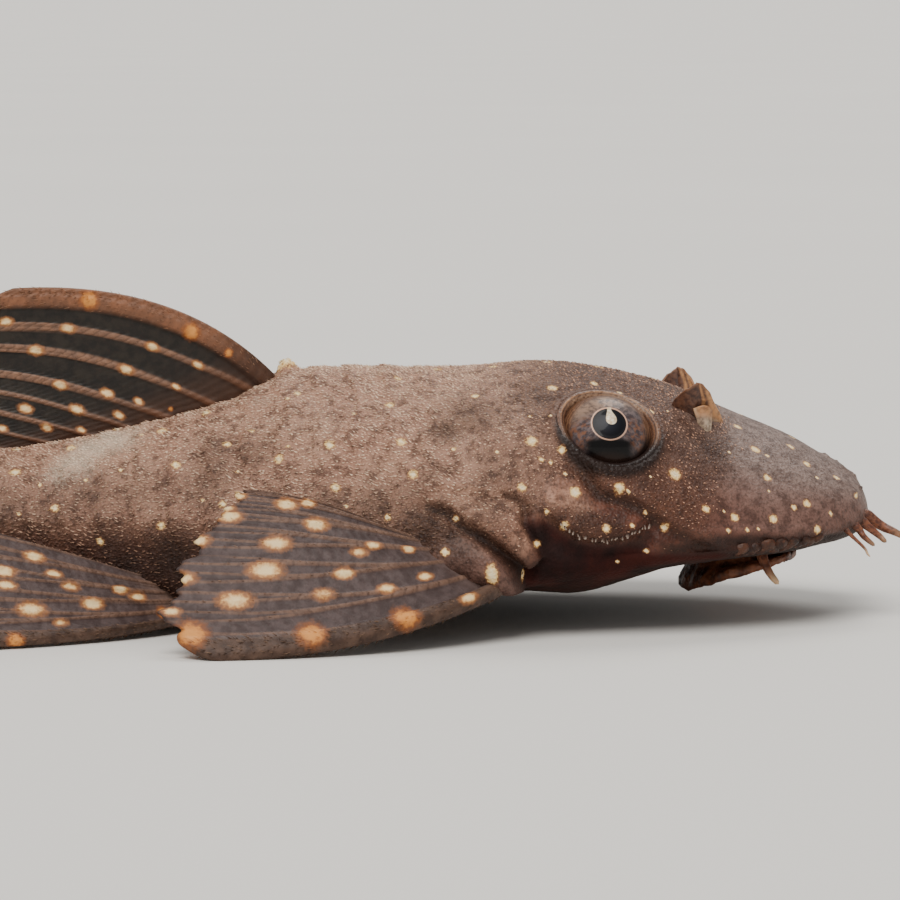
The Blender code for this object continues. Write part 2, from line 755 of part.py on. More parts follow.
# Large paired fins: the stout spine lies along the floor and the inner rays lean on the flank
PECTORAL_RAYS = 7
PECTORAL_SPINE = ray((20.4, 9.4, 4.3), (22.4, 14.6, 2.9), (31.8, 18.4, 0.0), (41.8, 18.2, 0.62))
PECTORAL_INNER = ray((26.0, 10.7, 4.8), (29.0, 12.3, 6.4), (33.4, 11.3, 8.6), (37.7, 9.3, 8.45))
PECTORAL_SPINE_THICK = 1.5
PECTORAL_BULGE = 1.6


def build_pectorals(surface):
    for name, side in (("pectoral_fin_left", 1), ("pectoral_fin_right", -1)):
        def curve(u, side=side):
            turn = math.pi / 2 * min(u / (PECTORAL_RAYS - 1), 1.0)
            return mirrored(between(PECTORAL_SPINE, PECTORAL_INNER, math.sin(turn), PECTORAL_BULGE), side)

        build_fin(name, curve, PECTORAL_RAYS, 9, surface, PECTORAL_SPINE_THICK)


# Second pair of fins, spread on the floor behind the first
PELVIC_RAYS = 6
PELVIC_SPINE = ray((39.3, 5.8, 1.2), (42.0, 9.5, 0.35), (47.5, 13.0, 0.5), (54.5, 14.4, 0.5))
PELVIC_INNER = ray((41.0, 6.2, 2.3), (44.5, 8.4, 3.7), (50.5, 7.9, 5.7), (55.8, 6.7, 6.9))
PELVIC_SPINE_THICK = 1.15
PELVIC_BULGE = 0.6


def build_pelvics(surface):
    for name, side in (("pelvic_fin_left", 1), ("pelvic_fin_right", -1)):
        def curve(u, side=side):
            f = u / (PELVIC_RAYS - 1)
            return mirrored(between(PELVIC_SPINE, PELVIC_INNER, f, PELVIC_BULGE), side)

        build_fin(name, curve, PELVIC_RAYS, 7, surface, PELVIC_SPINE_THICK)


# Back fin, half lowered: its soft rays sweep back almost level
DORSAL_RAYS = 8
DORSAL_SPINE = ray((35.4, 0, 13.2), (39.5, 0, 17.8), (45.5, 0, 19.8), (53.6, 0, 18.8))
DORSAL_LAST = ray((51.0, 0, 9.4), (54.5, 0, 10.7), (58.5, 0, 11.3), (62.5, 0, 11.6))
DORSAL_SPINE_THICK = 1.2
DORSAL_DROP = 0.65
DORSAL_SWAY = 0.7
DORSAL_LEAD = Vector((-0.9, 0, 2.2))


def build_dorsal(surface):
    def curve(u):
        f = max(u, 0.0) / (DORSAL_RAYS - 1)
        mixed = between(DORSAL_SPINE, DORSAL_LAST, f)
        for a, b, p in zip(DORSAL_SPINE, DORSAL_LAST, mixed):
            p.z = a.z + (b.z - a.z) * f**DORSAL_DROP
        ahead = DORSAL_LEAD * max(-u, 0.0)
        return swayed([p + ahead for p in mixed], DORSAL_SWAY, 3.2 * f)

    build_fin("dorsal_fin", curve, DORSAL_RAYS, 9, surface, DORSAL_SPINE_THICK)


# Tail fin, half closed, its longer lower lobe along the floor
CAUDAL_RAYS = 14
CAUDAL_UPPER = ray((73.6, 0, 9.3), (80.0, 0, 10.8), (88.0, 0, 13.6), (95.0, 0, 16.2))
CAUDAL_LOWER = ray((73.6, 0, 2.2), (80.0, 0, 1.5), (90.0, 0, 0.62), (98.5, 0, 0.62))
CAUDAL_SPINE_THICK = 1.0
CAUDAL_FORK = -4.6
CAUDAL_SWAY = 0.9


def build_caudal(surface):
    def curve(u):
        f = u / (CAUDAL_RAYS - 1)
        mixed = between(CAUDAL_UPPER, CAUDAL_LOWER, f, CAUDAL_FORK)
        return swayed(mixed, CAUDAL_SWAY, math.pi / 2 - 5.5 * f)

    build_fin("caudal_fin", curve, CAUDAL_RAYS, 7, surface, CAUDAL_SPINE_THICK)


# Small fin before the tail fin: one spine and a short web behind it
ADIPOSE_RAYS = 3
ADIPOSE_SPINE = ray((63.2, 0, 8.6), (64.2, 0, 10.6), (65.6, 0, 12.0), (67.4, 0, 12.9))
ADIPOSE_LAST = ray((68.2, 0, 8.7), (68.6, 0, 9.6), (69.0, 0, 10.2), (69.6, 0, 10.9))
ADIPOSE_SPINE_THICK = 1.0


def build_adipose(surface):
    def curve(u):
        return between(ADIPOSE_SPINE, ADIPOSE_LAST, u / (ADIPOSE_RAYS - 1))

    build_fin("adipose_fin", curve, ADIPOSE_RAYS, 4, surface, ADIPOSE_SPINE_THICK)


# Small fin under the tail, folded to one side on the floor
ANAL_RAYS = 5
ANAL_FIRST = ray((52.0, 0.2, 1.9), (54.0, -1.8, 0.6), (57.0, -3.6, 0.5), (61.0, -4.8, 0.45))
ANAL_LAST = ray((55.5, -0.1, 2.1), (58.0, -0.7, 0.95), (61.0, -0.9, 0.7), (64.5, -1.0, 0.55))


def build_anal(surface):
    def curve(u):
        return between(ANAL_FIRST, ANAL_LAST, u / (ANAL_RAYS - 1))

    build_fin("anal_fin", curve, ANAL_RAYS, 5, surface)


def main():
    for obj in list(bpy.data.objects):
        bpy.data.objects.remove(obj)
    skin = finish("skin", (0.155, 0.082, 0.058), 0.55)
    lips = finish("lips", (0.10, 0.042, 0.027), 0.5)
    eye = finish("eye", (0.045, 0.040, 0.042), 0.15)
    fin = finish("fin", (0.185, 0.11, 0.082), 0.5)
    build_head(skin)
    build_nostril_flaps(skin)
    build_torso(skin)
    build_tail(skin)
    build_eyes(eye)
    build_mouth(lips)
    build_barbels(lips)
    build_pectorals(fin)
    build_pelvics(fin)
    build_dorsal(fin)
    build_caudal(fin)
    build_adipose(fin)
    build_anal(fin)


main()
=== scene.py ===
# %% [markdown]
# A bristlenose pleco, life size, resting on its fins. The imported solids come
# in first and stay where they are, because every visible piece is built round
# them. They are kept, and those that a finished piece stands for are hidden.

# %% Load the imported solids
import math

import bmesh
import bpy
import numpy as np
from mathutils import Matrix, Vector, noise


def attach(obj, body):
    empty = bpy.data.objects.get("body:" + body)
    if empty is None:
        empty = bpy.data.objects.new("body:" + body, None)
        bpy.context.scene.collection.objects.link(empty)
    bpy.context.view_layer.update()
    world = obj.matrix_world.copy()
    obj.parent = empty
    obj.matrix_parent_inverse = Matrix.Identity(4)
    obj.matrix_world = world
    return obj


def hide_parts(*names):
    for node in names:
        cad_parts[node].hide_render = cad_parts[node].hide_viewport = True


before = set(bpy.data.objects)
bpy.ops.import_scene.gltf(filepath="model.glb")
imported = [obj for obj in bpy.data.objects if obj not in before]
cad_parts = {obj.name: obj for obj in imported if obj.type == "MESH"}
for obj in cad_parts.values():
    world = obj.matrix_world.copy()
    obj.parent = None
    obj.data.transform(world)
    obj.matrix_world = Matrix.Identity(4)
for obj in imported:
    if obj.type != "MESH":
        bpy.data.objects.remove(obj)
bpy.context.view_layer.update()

MM = 0.001

# %% [markdown]
# The fish's own shape is written as a few smooth curves along its spine: the
# height of the back, of the belly and of the widest level, and half the width.
# The solids were made from the same curves, so a skin made from them fits.
# A place on the fish is (s, y, z) in millimetres: back from the snout tip, to
# the fish's left, and up from the floor.

# %% Curves of the body
BODY_LENGTH = 75.0
ORIGIN_S = 39.5
SWING_START_S = 50.0
SWING_RADIUS = 135.0
TAIL_ROUND = 1.3
TOP_Z = [(0, 8.5), (2, 9.1), (5, 10.7), (9, 12.4), (13, 14.0), (19, 15.1), (25, 14.8), (34.5, 14.6),
         (38.5, 12.9), (45, 11.2), (52, 10.0), (62, 9.4), (70, 9.3), (75, 9.9)]
BOTTOM_Z = [(0, 4.8), (2, 4.5), (5, 4.0), (12.5, 3.2), (17.5, 1.6), (21.5, 1.75), (27, 1.2), (33, 0.1),
            (38, -0.25), (43, -0.15), (47, 0.5), (55, 1.2), (68, 1.5), (75, 1.5)]
EDGE_Z = [(0, 5.9), (4, 5.4), (10, 4.9), (20, 5.0), (30, 4.6), (45, 5.0), (60, 5.4), (75, 5.7)]
HALF_WIDTH = [(0, 10.3), (8, 10.2), (16, 11.6), (24, 12.3), (34, 10.2), (46, 6.8), (58, 4.4), (68, 3.2),
              (75, 2.6)]
UPPER_ROUNDNESS = [(0, 2.0), (6, 1.85), (16, 1.8), (36, 1.8), (50, 2.0), (75, 2.2)]
LOWER_ROUNDNESS = [(0, 2.2), (12, 2.0), (22, 2.2), (38, 3.0), (50, 2.4), (75, 2.2)]
SNOUT_BLUNT_SIDE = 2.0
SNOUT_BLUNT_PLAN = 13.0


def along_curve(stations, s):
    """Values at s of a smooth curve through (s, value) stations."""
    at = np.array([p for p, _ in stations], float)
    value = np.array([v for _, v in stations], float)
    slope = np.empty_like(value)
    slope[1:-1] = (value[2:] - value[:-2]) / (at[2:] - at[:-2])
    slope[0] = (value[1] - value[0]) / (at[1] - at[0])
    slope[-1] = (value[-1] - value[-2]) / (at[-1] - at[-2])
    s = np.clip(s, at[0], at[-1])
    i = np.clip(np.searchsorted(at, s, side="right") - 1, 0, len(at) - 2)
    width = at[i + 1] - at[i]
    f = (s - at[i]) / width
    return (value[i] * (2 * f**3 - 3 * f**2 + 1) + slope[i] * width * (f**3 - 2 * f**2 + f)
            + value[i + 1] * (3 * f**2 - 2 * f**3) + slope[i + 1] * width * (f**3 - f**2))


def blunt(s, length):
    """Rises from 0 at the snout tip to 1 at length, as a quarter ellipse."""
    return np.sqrt(np.maximum(0.0, 1 - (1 - np.clip(s / length, 0, 1)) ** 2))


def smooth_body(s, angle):
    """Points of the bare body. The angle is 0 on the back and pi under the belly, negative on the right."""
    s, angle = np.broadcast_arrays(np.asarray(s, float), np.asarray(angle, float))
    edge = along_curve(EDGE_Z, s)
    nose = blunt(s, SNOUT_BLUNT_SIDE)
    half = along_curve(HALF_WIDTH, s) * blunt(s, SNOUT_BLUNT_PLAN)
    up = np.cos(angle)
    above = up >= 0
    power = 2 / np.where(above, along_curve(UPPER_ROUNDNESS, s), along_curve(LOWER_ROUNDNESS, s))
    reach = np.where(above, along_curve(TOP_Z, s) - edge, edge - along_curve(BOTTOM_Z, s)) * nose
    y = np.sign(np.sin(angle)) * half * np.abs(np.sin(angle)) ** power
    return np.stack([s, y, edge + np.sign(up) * reach * np.abs(up) ** power], -1)


def unit(v):
    return v / np.maximum(np.linalg.norm(v, axis=-1, keepdims=True), 1e-12)


def body_normal(s, angle):
    step = 0.02
    along = smooth_body(s + step, angle) - smooth_body(np.maximum(s - step, 0), angle)
    around = smooth_body(s, angle + step) - smooth_body(s, angle - step)
    return unit(np.cross(along, around))


def place(p):
    """From (s, y, z) in millimetres to the world in metres: bends the tail and keeps above the floor."""
    p = np.asarray(p, float)
    s, y, z = p[..., 0], p[..., 1], np.maximum(p[..., 2], 0.0)
    turn = np.maximum(s - SWING_START_S, 0) / SWING_RADIUS
    back = np.minimum(s, SWING_START_S) + (SWING_RADIUS - y) * np.sin(turn)
    left = SWING_RADIUS - (SWING_RADIUS - y) * np.cos(turn)
    return np.stack([ORIGIN_S - back, left, z], -1) * MM


print("height at the nape in mm:", round(float(along_curve(TOP_Z, 19.0)), 1))

# %% [markdown]
# The photograph's camera stands at the fish's right side, a little above the
# floor, and looks slightly down. It is long and narrow, so that the near fin
# and the far nostril keep their true sizes. The same numbers also turn a pixel
# of the photograph into a place on a surface, which puts each marking where
# the real fish has it.

# %% Camera of the photograph
IMAGE_SIDE = 900
CAMERA_TARGET = np.array([14.3, 0.0, 9.8])
CAMERA_DISTANCE = 260.0
VIEW_WIDTH = 54.0
CAMERA_AZIMUTH = math.radians(-3)
CAMERA_ELEVATION = math.radians(6)
SENSOR = 36.0
PIXEL_REACH = 6.0
PIXELS_CLOSE = 2.5
DEPTH_PER_PIXEL = 0.4

camera_right = np.array([math.cos(CAMERA_AZIMUTH), math.sin(CAMERA_AZIMUTH), 0.0])
camera_ahead = np.array([-math.sin(CAMERA_AZIMUTH) * math.cos(CAMERA_ELEVATION),
                         math.cos(CAMERA_AZIMUTH) * math.cos(CAMERA_ELEVATION),
                         -math.sin(CAMERA_ELEVATION)])
camera_up = np.cross(camera_right, camera_ahead)
camera_spot = CAMERA_TARGET - camera_ahead * CAMERA_DISTANCE

camera_data = bpy.data.cameras.new("photo_camera")
camera_data.sensor_width = SENSOR
camera_data.lens = SENSOR * CAMERA_DISTANCE / VIEW_WIDTH
camera_data.clip_start = 0.01
camera = bpy.data.objects.new("photo_camera", camera_data)
camera.location = camera_spot * MM
camera.rotation_euler = Vector(camera_ahead).to_track_quat("-Z", "Y").to_euler()
bpy.context.scene.collection.objects.link(camera)
bpy.context.scene.camera = camera


def seen_pixels(points):
    """Pixels and depths of world points in metres, as the photograph's camera sees them."""
    away = points / MM - camera_spot
    depth = away @ camera_ahead
    scale = CAMERA_DISTANCE * IMAGE_SIDE / VIEW_WIDTH / depth
    return IMAGE_SIDE / 2 + away @ camera_right * scale, IMAGE_SIDE / 2 - away @ camera_up * scale, depth


def nearest_to_pixel(points, x, y, within=PIXEL_REACH):
    """The index of the point nearest the camera among those close to a pixel, or None."""
    across, down, depth = seen_pixels(points)
    off = np.hypot(across - x, down - y)
    if off.min() > within:
        return None
    near = np.flatnonzero(off < max(PIXELS_CLOSE, off.min() + 0.5))
    return int(near[np.argmin(depth[near] + DEPTH_PER_PIXEL * off[near])])


print("lens in mm:", round(camera_data.lens, 1))

# %% [markdown]
# Most pieces here are a flat grid that is bent into shape: the skin is a grid
# rolled into a tube and closed at the snout, a fin is one rolled flat. Bending
# a grid keeps its cells even, and each point remembers where it was on the
# flat grid, which is what the markings are painted by later.

# %% Helpers for bent grids and painted points
MERGE = 2e-6
SLIVER = 1e-7
SIDES = (("left", 1), ("right", -1))


def new_object(name, mesh, material, replaced=()):
    """A finished piece: rides on the body, takes its finish and stands for the solids it hides."""
    made = bpy.data.objects.new(name, mesh)
    bpy.context.scene.collection.objects.link(made)
    mesh.materials.append(material)
    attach(made, "root")
    if replaced:
        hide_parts(*replaced)


def bent_grid(name, columns, rows, shape, merge=MERGE):
    """A grid of cells bent by shape(u, v), with u and v from 0 to 1, and closed where its edges meet."""
    bm = bmesh.new()
    bmesh.ops.create_grid(bm, x_segments=columns, y_segments=rows, size=0.5)
    flat = np.array([v.co for v in bm.verts])
    low, high = flat.min(0), flat.max(0)
    u = (flat[:, 0] - low[0]) / (high[0] - low[0])
    v = (flat[:, 1] - low[1]) / (high[1] - low[1])
    keep_u, keep_v = bm.verts.layers.float.new("u"), bm.verts.layers.float.new("v")
    for vert, p, a, b in zip(bm.verts, shape(u, v), u, v):
        vert.co = p
        vert[keep_u] = a
        vert[keep_v] = b
    bmesh.ops.remove_doubles(bm, verts=bm.verts, dist=merge)
    bmesh.ops.dissolve_degenerate(bm, edges=bm.edges, dist=SLIVER)
    bmesh.ops.recalc_face_normals(bm, faces=bm.faces)
    mesh = bpy.data.meshes.new(name)
    bm.to_mesh(mesh)
    bm.free()
    mesh.shade_smooth()
    return mesh


def points_of(mesh):
    found = np.empty(len(mesh.vertices) * 3, np.float32)
    mesh.vertices.foreach_get("co", found)
    return found.reshape(-1, 3).astype(float)


def kept(mesh, name):
    """The values of a point attribute."""
    found = np.empty(len(mesh.vertices), np.float32)
    mesh.attributes[name].data.foreach_get("value", found)
    return found.astype(float)


def paint_points(mesh, **values):
    """Stores one number for each point under each name."""
    for name, value in values.items():
        layer = mesh.attributes.get(name) or mesh.attributes.new(name, "FLOAT", "POINT")
        layer.data.foreach_set("value", np.asarray(value, np.float32))


def ramp_between(x, low, high):
    """0 below low, 1 above high and smooth between."""
    f = np.clip((x - low) / (high - low), 0, 1)
    return f * f * (3 - 2 * f)


def bell(x, wide=1.0):
    """1 where x is 0, falling smoothly to nearly 0 at twice the width."""
    return np.exp(-((x / wide) ** 2))


def to_path(points, path):
    """Distance in millimetres from each point to a path of points."""
    best = np.full(len(points), 1e9)
    for a, b in zip(path[:-1], path[1:]):
        line = b - a
        f = np.clip((points - a) @ line / (line @ line), 0, 1)
        best = np.minimum(best, np.linalg.norm(points - a - f[:, None] * line, axis=1))
    return best


def lumps(points, size, seed=0.0):
    """Soft random lumps, from -1 to 1, of a size in millimetres."""
    shift = Vector((seed, 2 * seed, -seed))
    return np.array([noise.noise(Vector(p) / size + shift) for p in points])


print("a bell at its own width:", round(float(bell(1.0)), 2))

# %% [markdown]
# The head carries the detail that is looked at first: the orbit of the eye, a
# rough plate that ends in a ledge under it, the cheek flap with its fringe of
# spines and the hollow below, which the skin's finish darkens with painted
# shade, the gill slit, the shoulder behind it, and the pit of the nostril. Each
# is a low relief on the smooth body, drawn along a few places (s, share of the
# half turn), on both sides alike. A mound also has a length and a height, and a
# plate's edge a ridge above and a groove below.

# %% Relief of the head
EYE_S = 16.4
EYE_ANGLE = 0.246 * math.pi
EYE_RADIUS = 2.9
EYE_SINK = 1.25
ORBIT_RADIUS = 2.95
NOSTRIL_S = 10.65
NOSTRIL_ANGLE = 0.138 * math.pi
LEDGE = [(18.9, 0.30), (17.9, 0.331), (17.0, 0.372), (15.3, 0.386), (14.3, 0.408), (12.9, 0.439),
         (11.2, 0.467), (10.0, 0.489)]
FRINGE = [(20.4, 0.411), (19.4, 0.439), (18.4, 0.461), (17.5, 0.467), (16.9, 0.469), (15.8, 0.462),
          (14.9, 0.447), (14.2, 0.436)]
HOLLOW = [(23.5, 0.395), (21.4, 0.392), (20.9, 0.398), (20.3, 0.418), (19.4, 0.446), (18.4, 0.468),
          (17.5, 0.476), (16.9, 0.478), (15.8, 0.476), (14.9, 0.478), (14.0, 0.493), (12.6, 0.515),
          (11.0, 0.53), (9.5, 0.54)]
GILL_SLIT = [(22.6, 0.374), (21.8, 0.384), (21.5, 0.40), (21.6, 0.43), (21.1, 0.46), (20.6, 0.485),
             (20.35, 0.525), (20.7, 0.57), (21.6, 0.61)]
NECK_FOLD = [(27.2, 0.366), (26.3, 0.356), (24.8, 0.361), (23.1, 0.376)]
SHOULDER_EDGE = [(27.4, 0.378), (25.8, 0.392), (25.0, 0.42), (24.1, 0.438), (22.7, 0.48), (21.8, 0.522),
                 (21.3, 0.575)]
SHOULDER_MOUND = (22.3, 0.45)
ARM_MOUNDS = [(23.9, 0.515, 2.6, 0.62), (23.2, 0.580, 2.0, 0.60), (21.9, 0.600, 1.4, 0.60)]
TEMPLE_PIT = [(25.8, 0.236), (24.6, 0.238)]
TEMPLE_MOUND = (21.6, 0.27)
TUBERCLES = [(0.9, 0.05), (0.7, 0.20), (1.2, 0.30), (1.6, 0.10), (2.1, 0.24), (2.5, 0.03), (1.1, 0.42),
             (2.9, 0.35)]
LIP_EDGE = [(13.2, 0.468), (10.6, 0.452), (9.2, 0.448), (7.6, 0.452), (5.8, 0.468), (3.8, 0.485),
            (2.4, 0.50), (0.8, 0.50)]
FAR = 99


def body_frame(s, angle, side):
    """A point of the bare body and three directions there: out, back and down round the body."""
    s, angle = float(s), side * float(angle)
    centre, out = smooth_body(s, angle), body_normal(s, angle)
    back = unit(np.array([1.0, 0.0, 0.0]) - out * out[0])
    return centre, out, back, np.cross(out, back) * side


def on_body(places):
    """Points of the bare body, on its left, at places given as (s, share of the half turn)."""
    at = np.array(places, float)
    return smooth_body(at[:, 0], at[:, 1] * math.pi)


def from_place(bare, place_at, sizes=1.0):
    """Distance of each point from one place, in millimetres or in shares of three sizes."""
    return np.linalg.norm((bare - on_body([place_at])[0]) / sizes, axis=1)


def above_path(s, share, places):
    """1 on the side of a path nearer the back, -1 below it."""
    at = np.array(sorted(places))
    return np.sign(np.interp(s, at[:, 0], at[:, 1]) - share)


def off_path(s, share, bare, places):
    """Millimetres from a path, counted negative below it."""
    return to_path(bare, on_body(places)) * above_path(s, share, places)


def within_path(s, places, fade=0.8):
    """1 between the ends of a path, fading to 0 past them."""
    at = [p for p, _ in places]
    start, end = min(at), max(at)
    return ramp_between(s, start - fade, start + fade) * (1 - ramp_between(s, end - fade, end + fade))


def behind_slit(s, share):
    """Millimetres behind the front edge of the shoulder plate, negative in front of it."""
    front = np.array([(share_at, s_at) for s_at, share_at in GILL_SLIT[2:]])
    return s - np.interp(share, front[:, 0], front[:, 1])


def plate_edge(off, ridge, groove):
    """Relief across a plate's edge. ridge is (height, start, top, length), groove (depth, place, width)."""
    raised = ridge[0] * ramp_between(off, ridge[1], ridge[2]) * bell(np.maximum(off, 0), ridge[3])
    return raised - groove[0] * bell(off - groove[1], groove[2])


def head_relief(s, share, bare):
    """How far the skin of the head stands out, in millimetres, for the left half mirrored to both."""
    out = np.zeros_like(s)
    centre, axis, _, _ = body_frame(EYE_S, EYE_ANGLE, 1)
    away = bare - centre
    ring = np.linalg.norm(away - (away @ axis)[:, None] * axis, axis=1)
    beside = np.where(np.abs(away @ axis) < 4, ring, FAR)
    out += 0.30 * bell(beside - ORBIT_RADIUS - 0.25, 0.45)
    out += 0.22 * bell(beside, 4.6)
    out -= 2.4 * (1 - ramp_between(beside, 2.5, 3.0))

    off = off_path(s, share, bare, LEDGE)
    out += within_path(s, LEDGE) * plate_edge(off, (0.44, -0.10, 0.12, 2.6), (0.20, -0.40, 0.40))
    off = off_path(s, share, bare, FRINGE)
    out += within_path(s, FRINGE, 0.5) * plate_edge(off, (0.50, -0.16, 0.22, 1.5), (0.62, -0.90, 0.85))

    off = to_path(bare, on_body(GILL_SLIT))
    wide = np.where(behind_slit(s, share) > 0, 0.22, 0.34 + 0.5 * ramp_between(share, 0.42, 0.6))
    out -= 0.55 * bell(off, wide)
    off = off_path(s, share, bare, NECK_FOLD)
    out += within_path(s, NECK_FOLD, 0.5) * (0.18 * bell(off - 0.22, 0.25) - 0.24 * bell(off + 0.30, 0.45))

    off = off_path(s, share, bare, SHOULDER_EDGE)
    out += within_path(s, SHOULDER_EDGE, 0.6) * plate_edge(off, (0.34, -0.10, 0.20, 1.8), (0.38, -0.38, 0.40))
    out += 0.30 * bell(from_place(bare, SHOULDER_MOUND, 1.5))
    for at_s, at_share, long, high in ARM_MOUNDS:
        mound = bell(from_place(bare, (at_s, at_share), np.array([long, 1.7, 1.3])))
        out += high * mound * ramp_between(-off, 0.2, 0.9)
    for tubercle in TUBERCLES:
        out += 0.16 * bell(from_place(bare, tubercle), 0.20)
    out -= 0.24 * bell(to_path(bare, on_body(TEMPLE_PIT)), 0.7)
    out += 0.20 * bell(from_place(bare, TEMPLE_MOUND, np.array([2.6, 2.2, 2.2])))

    off = np.linalg.norm(bare - body_frame(NOSTRIL_S, NOSTRIL_ANGLE, 1)[0], axis=1)
    out += 0.16 * bell(off - 1.25, 0.4) - 0.85 * (1 - ramp_between(off, 0.35, 0.95))
    off = to_path(bare, on_body(LIP_EDGE))
    out += 0.16 * bell(off, 0.35)
    off = to_path(bare, on_body([(p, a + 0.035) for p, a in LIP_EDGE]))
    out -= 0.14 * bell(off, 0.30)
    return out


print("eye's place in mm:", np.round(body_frame(EYE_S, EYE_ANGLE, 1)[0], 1))

# %% [markdown]
# Behind the head, rows of bony plates cover the fish as shingles do: each
# rises backwards and ends in a step over the next. The belly has none. On a
# real bristlenose they hardly show as plates, because short bristles cover
# them, so the relief is low.

# %% Relief of the plates and the back
PLATES_START_S = 27.0
PLATE_PITCH = 2.1
PLATE_ROWS = 6
PLATE_POINT = 0.55
PLATE_RISE = 0.22
PLATE_GROOVE = 0.07
PLATE_CREST_SHARE = 0.86
BELLY_ANGLE = 0.80 * math.pi
BELLY_END_S = 48.0
LOCK_S = 34.9
LOCK_LENGTH, LOCK_WIDTH, LOCK_HEIGHT = 0.58, 0.70, 0.80


def plate_turn(s, angle):
    """Where a place is on its plate: along it from 0 to 1, and across it from 0 at the groove to 1 on top."""
    crest = 0.5 - 0.5 * np.cos(2 * PLATE_ROWS * np.abs(angle))
    return ((s - PLATE_POINT * crest - PLATES_START_S) / PLATE_PITCH) % 1.0, crest


def plate_relief(s, angle):
    turn, crest = plate_turn(s, angle)
    rise = np.where(turn < PLATE_CREST_SHARE, turn / PLATE_CREST_SHARE, (1 - turn) / (1 - PLATE_CREST_SHARE))
    rise = rise**1.3
    fade = np.clip((s - PLATES_START_S + PLATE_PITCH) / (2 * PLATE_PITCH), 0, 1)
    belly = ramp_between(np.abs(angle), BELLY_ANGLE - 0.08, BELLY_ANGLE)
    belly *= 1 - ramp_between(s, BELLY_END_S - 1.5, BELLY_END_S)
    raised = PLATE_RISE * rise * (0.35 + 0.65 * crest) - PLATE_GROOVE * (1 - crest)
    keel = 0.05 * bell(crest - 1, 0.12)
    return fade * (1 - belly) * (raised + keel)


def skin_relief(s, angle, bare):
    """All of the relief of the skin in millimetres, with the small knob that locks the dorsal spine."""
    mirrored = bare.copy()
    mirrored[:, 1] = np.abs(mirrored[:, 1])
    out = head_relief(s, np.abs(angle) / math.pi, mirrored) + plate_relief(s, angle)
    lock = ((s - LOCK_S) / LOCK_LENGTH) ** 2 + (bare[:, 1] / LOCK_WIDTH) ** 2
    out += LOCK_HEIGHT * np.exp(-(lock**1.5))
    seen_part = s > 0.6
    out[seen_part] += 0.055 * lumps(bare[seen_part], 1.3, 3.0) + 0.028 * lumps(bare[seen_part], 0.45, 8.0)
    return out


print("plates in a row:", int((BODY_LENGTH - PLATES_START_S) / PLATE_PITCH))

# %% [markdown]
# One skin covers head, trunk and tail without a seam. The grid is fine on the
# head and coarser behind it, because a viewer comes closest to the face.

# %% Skin
SNOUT_S, HEAD_S, TRUNK_S = 2.2, 24.0, 51.0
STATIONS = np.concatenate([SNOUT_S * (np.arange(16) / 16) ** 2, np.linspace(SNOUT_S, HEAD_S, 130)[:-1],
                           np.linspace(HEAD_S, TRUNK_S, 92)[:-1],
                           np.linspace(TRUNK_S, BODY_LENGTH - TAIL_ROUND, 62)[:-1],
                           BODY_LENGTH - TAIL_ROUND * (1 - np.sin(np.linspace(0, math.pi / 2, 8)))])
SKIN_COLUMNS = 292


def end_share(s):
    """How much of its section the body keeps near the end of the tail."""
    into = np.clip((s - (BODY_LENGTH - TAIL_ROUND)) / TAIL_ROUND, 0, 1)
    return np.sqrt(np.maximum(0, 1 - into**2))


def skin_place(s, angle):
    """Points of the finished skin in (s, y, z)."""
    bare = smooth_body(s, angle)
    share = end_share(s)
    out = skin_relief(s, angle, bare) * share
    p = bare + body_normal(s, angle) * out[:, None]
    centre = along_curve(EDGE_Z, s)
    p[:, 1] *= share
    p[:, 2] = centre + (p[:, 2] - centre) * share
    return p


def station_at(v):
    return np.interp(v * (len(STATIONS) - 1), np.arange(len(STATIONS)), STATIONS)


def skin_shape(u, v):
    return place(skin_place(station_at(v), (2 * u - 1) * math.pi))


skin_mesh = bent_grid("skin", SKIN_COLUMNS, len(STATIONS) - 1, skin_shape)
skin_s = station_at(kept(skin_mesh, "v"))
skin_angle = (2 * kept(skin_mesh, "u") - 1) * math.pi
print("skin faces:", len(skin_mesh.polygons))

# %% [markdown]
# The markings are cream-gold points about half a millimetre wide and three
# apart. Those that the photograph shows are put where it shows them, given as
# pixels and a radius in millimetres, and are repeated on the far side. A
# seeded rule fills the places that it doesn't show, at the same spacing.

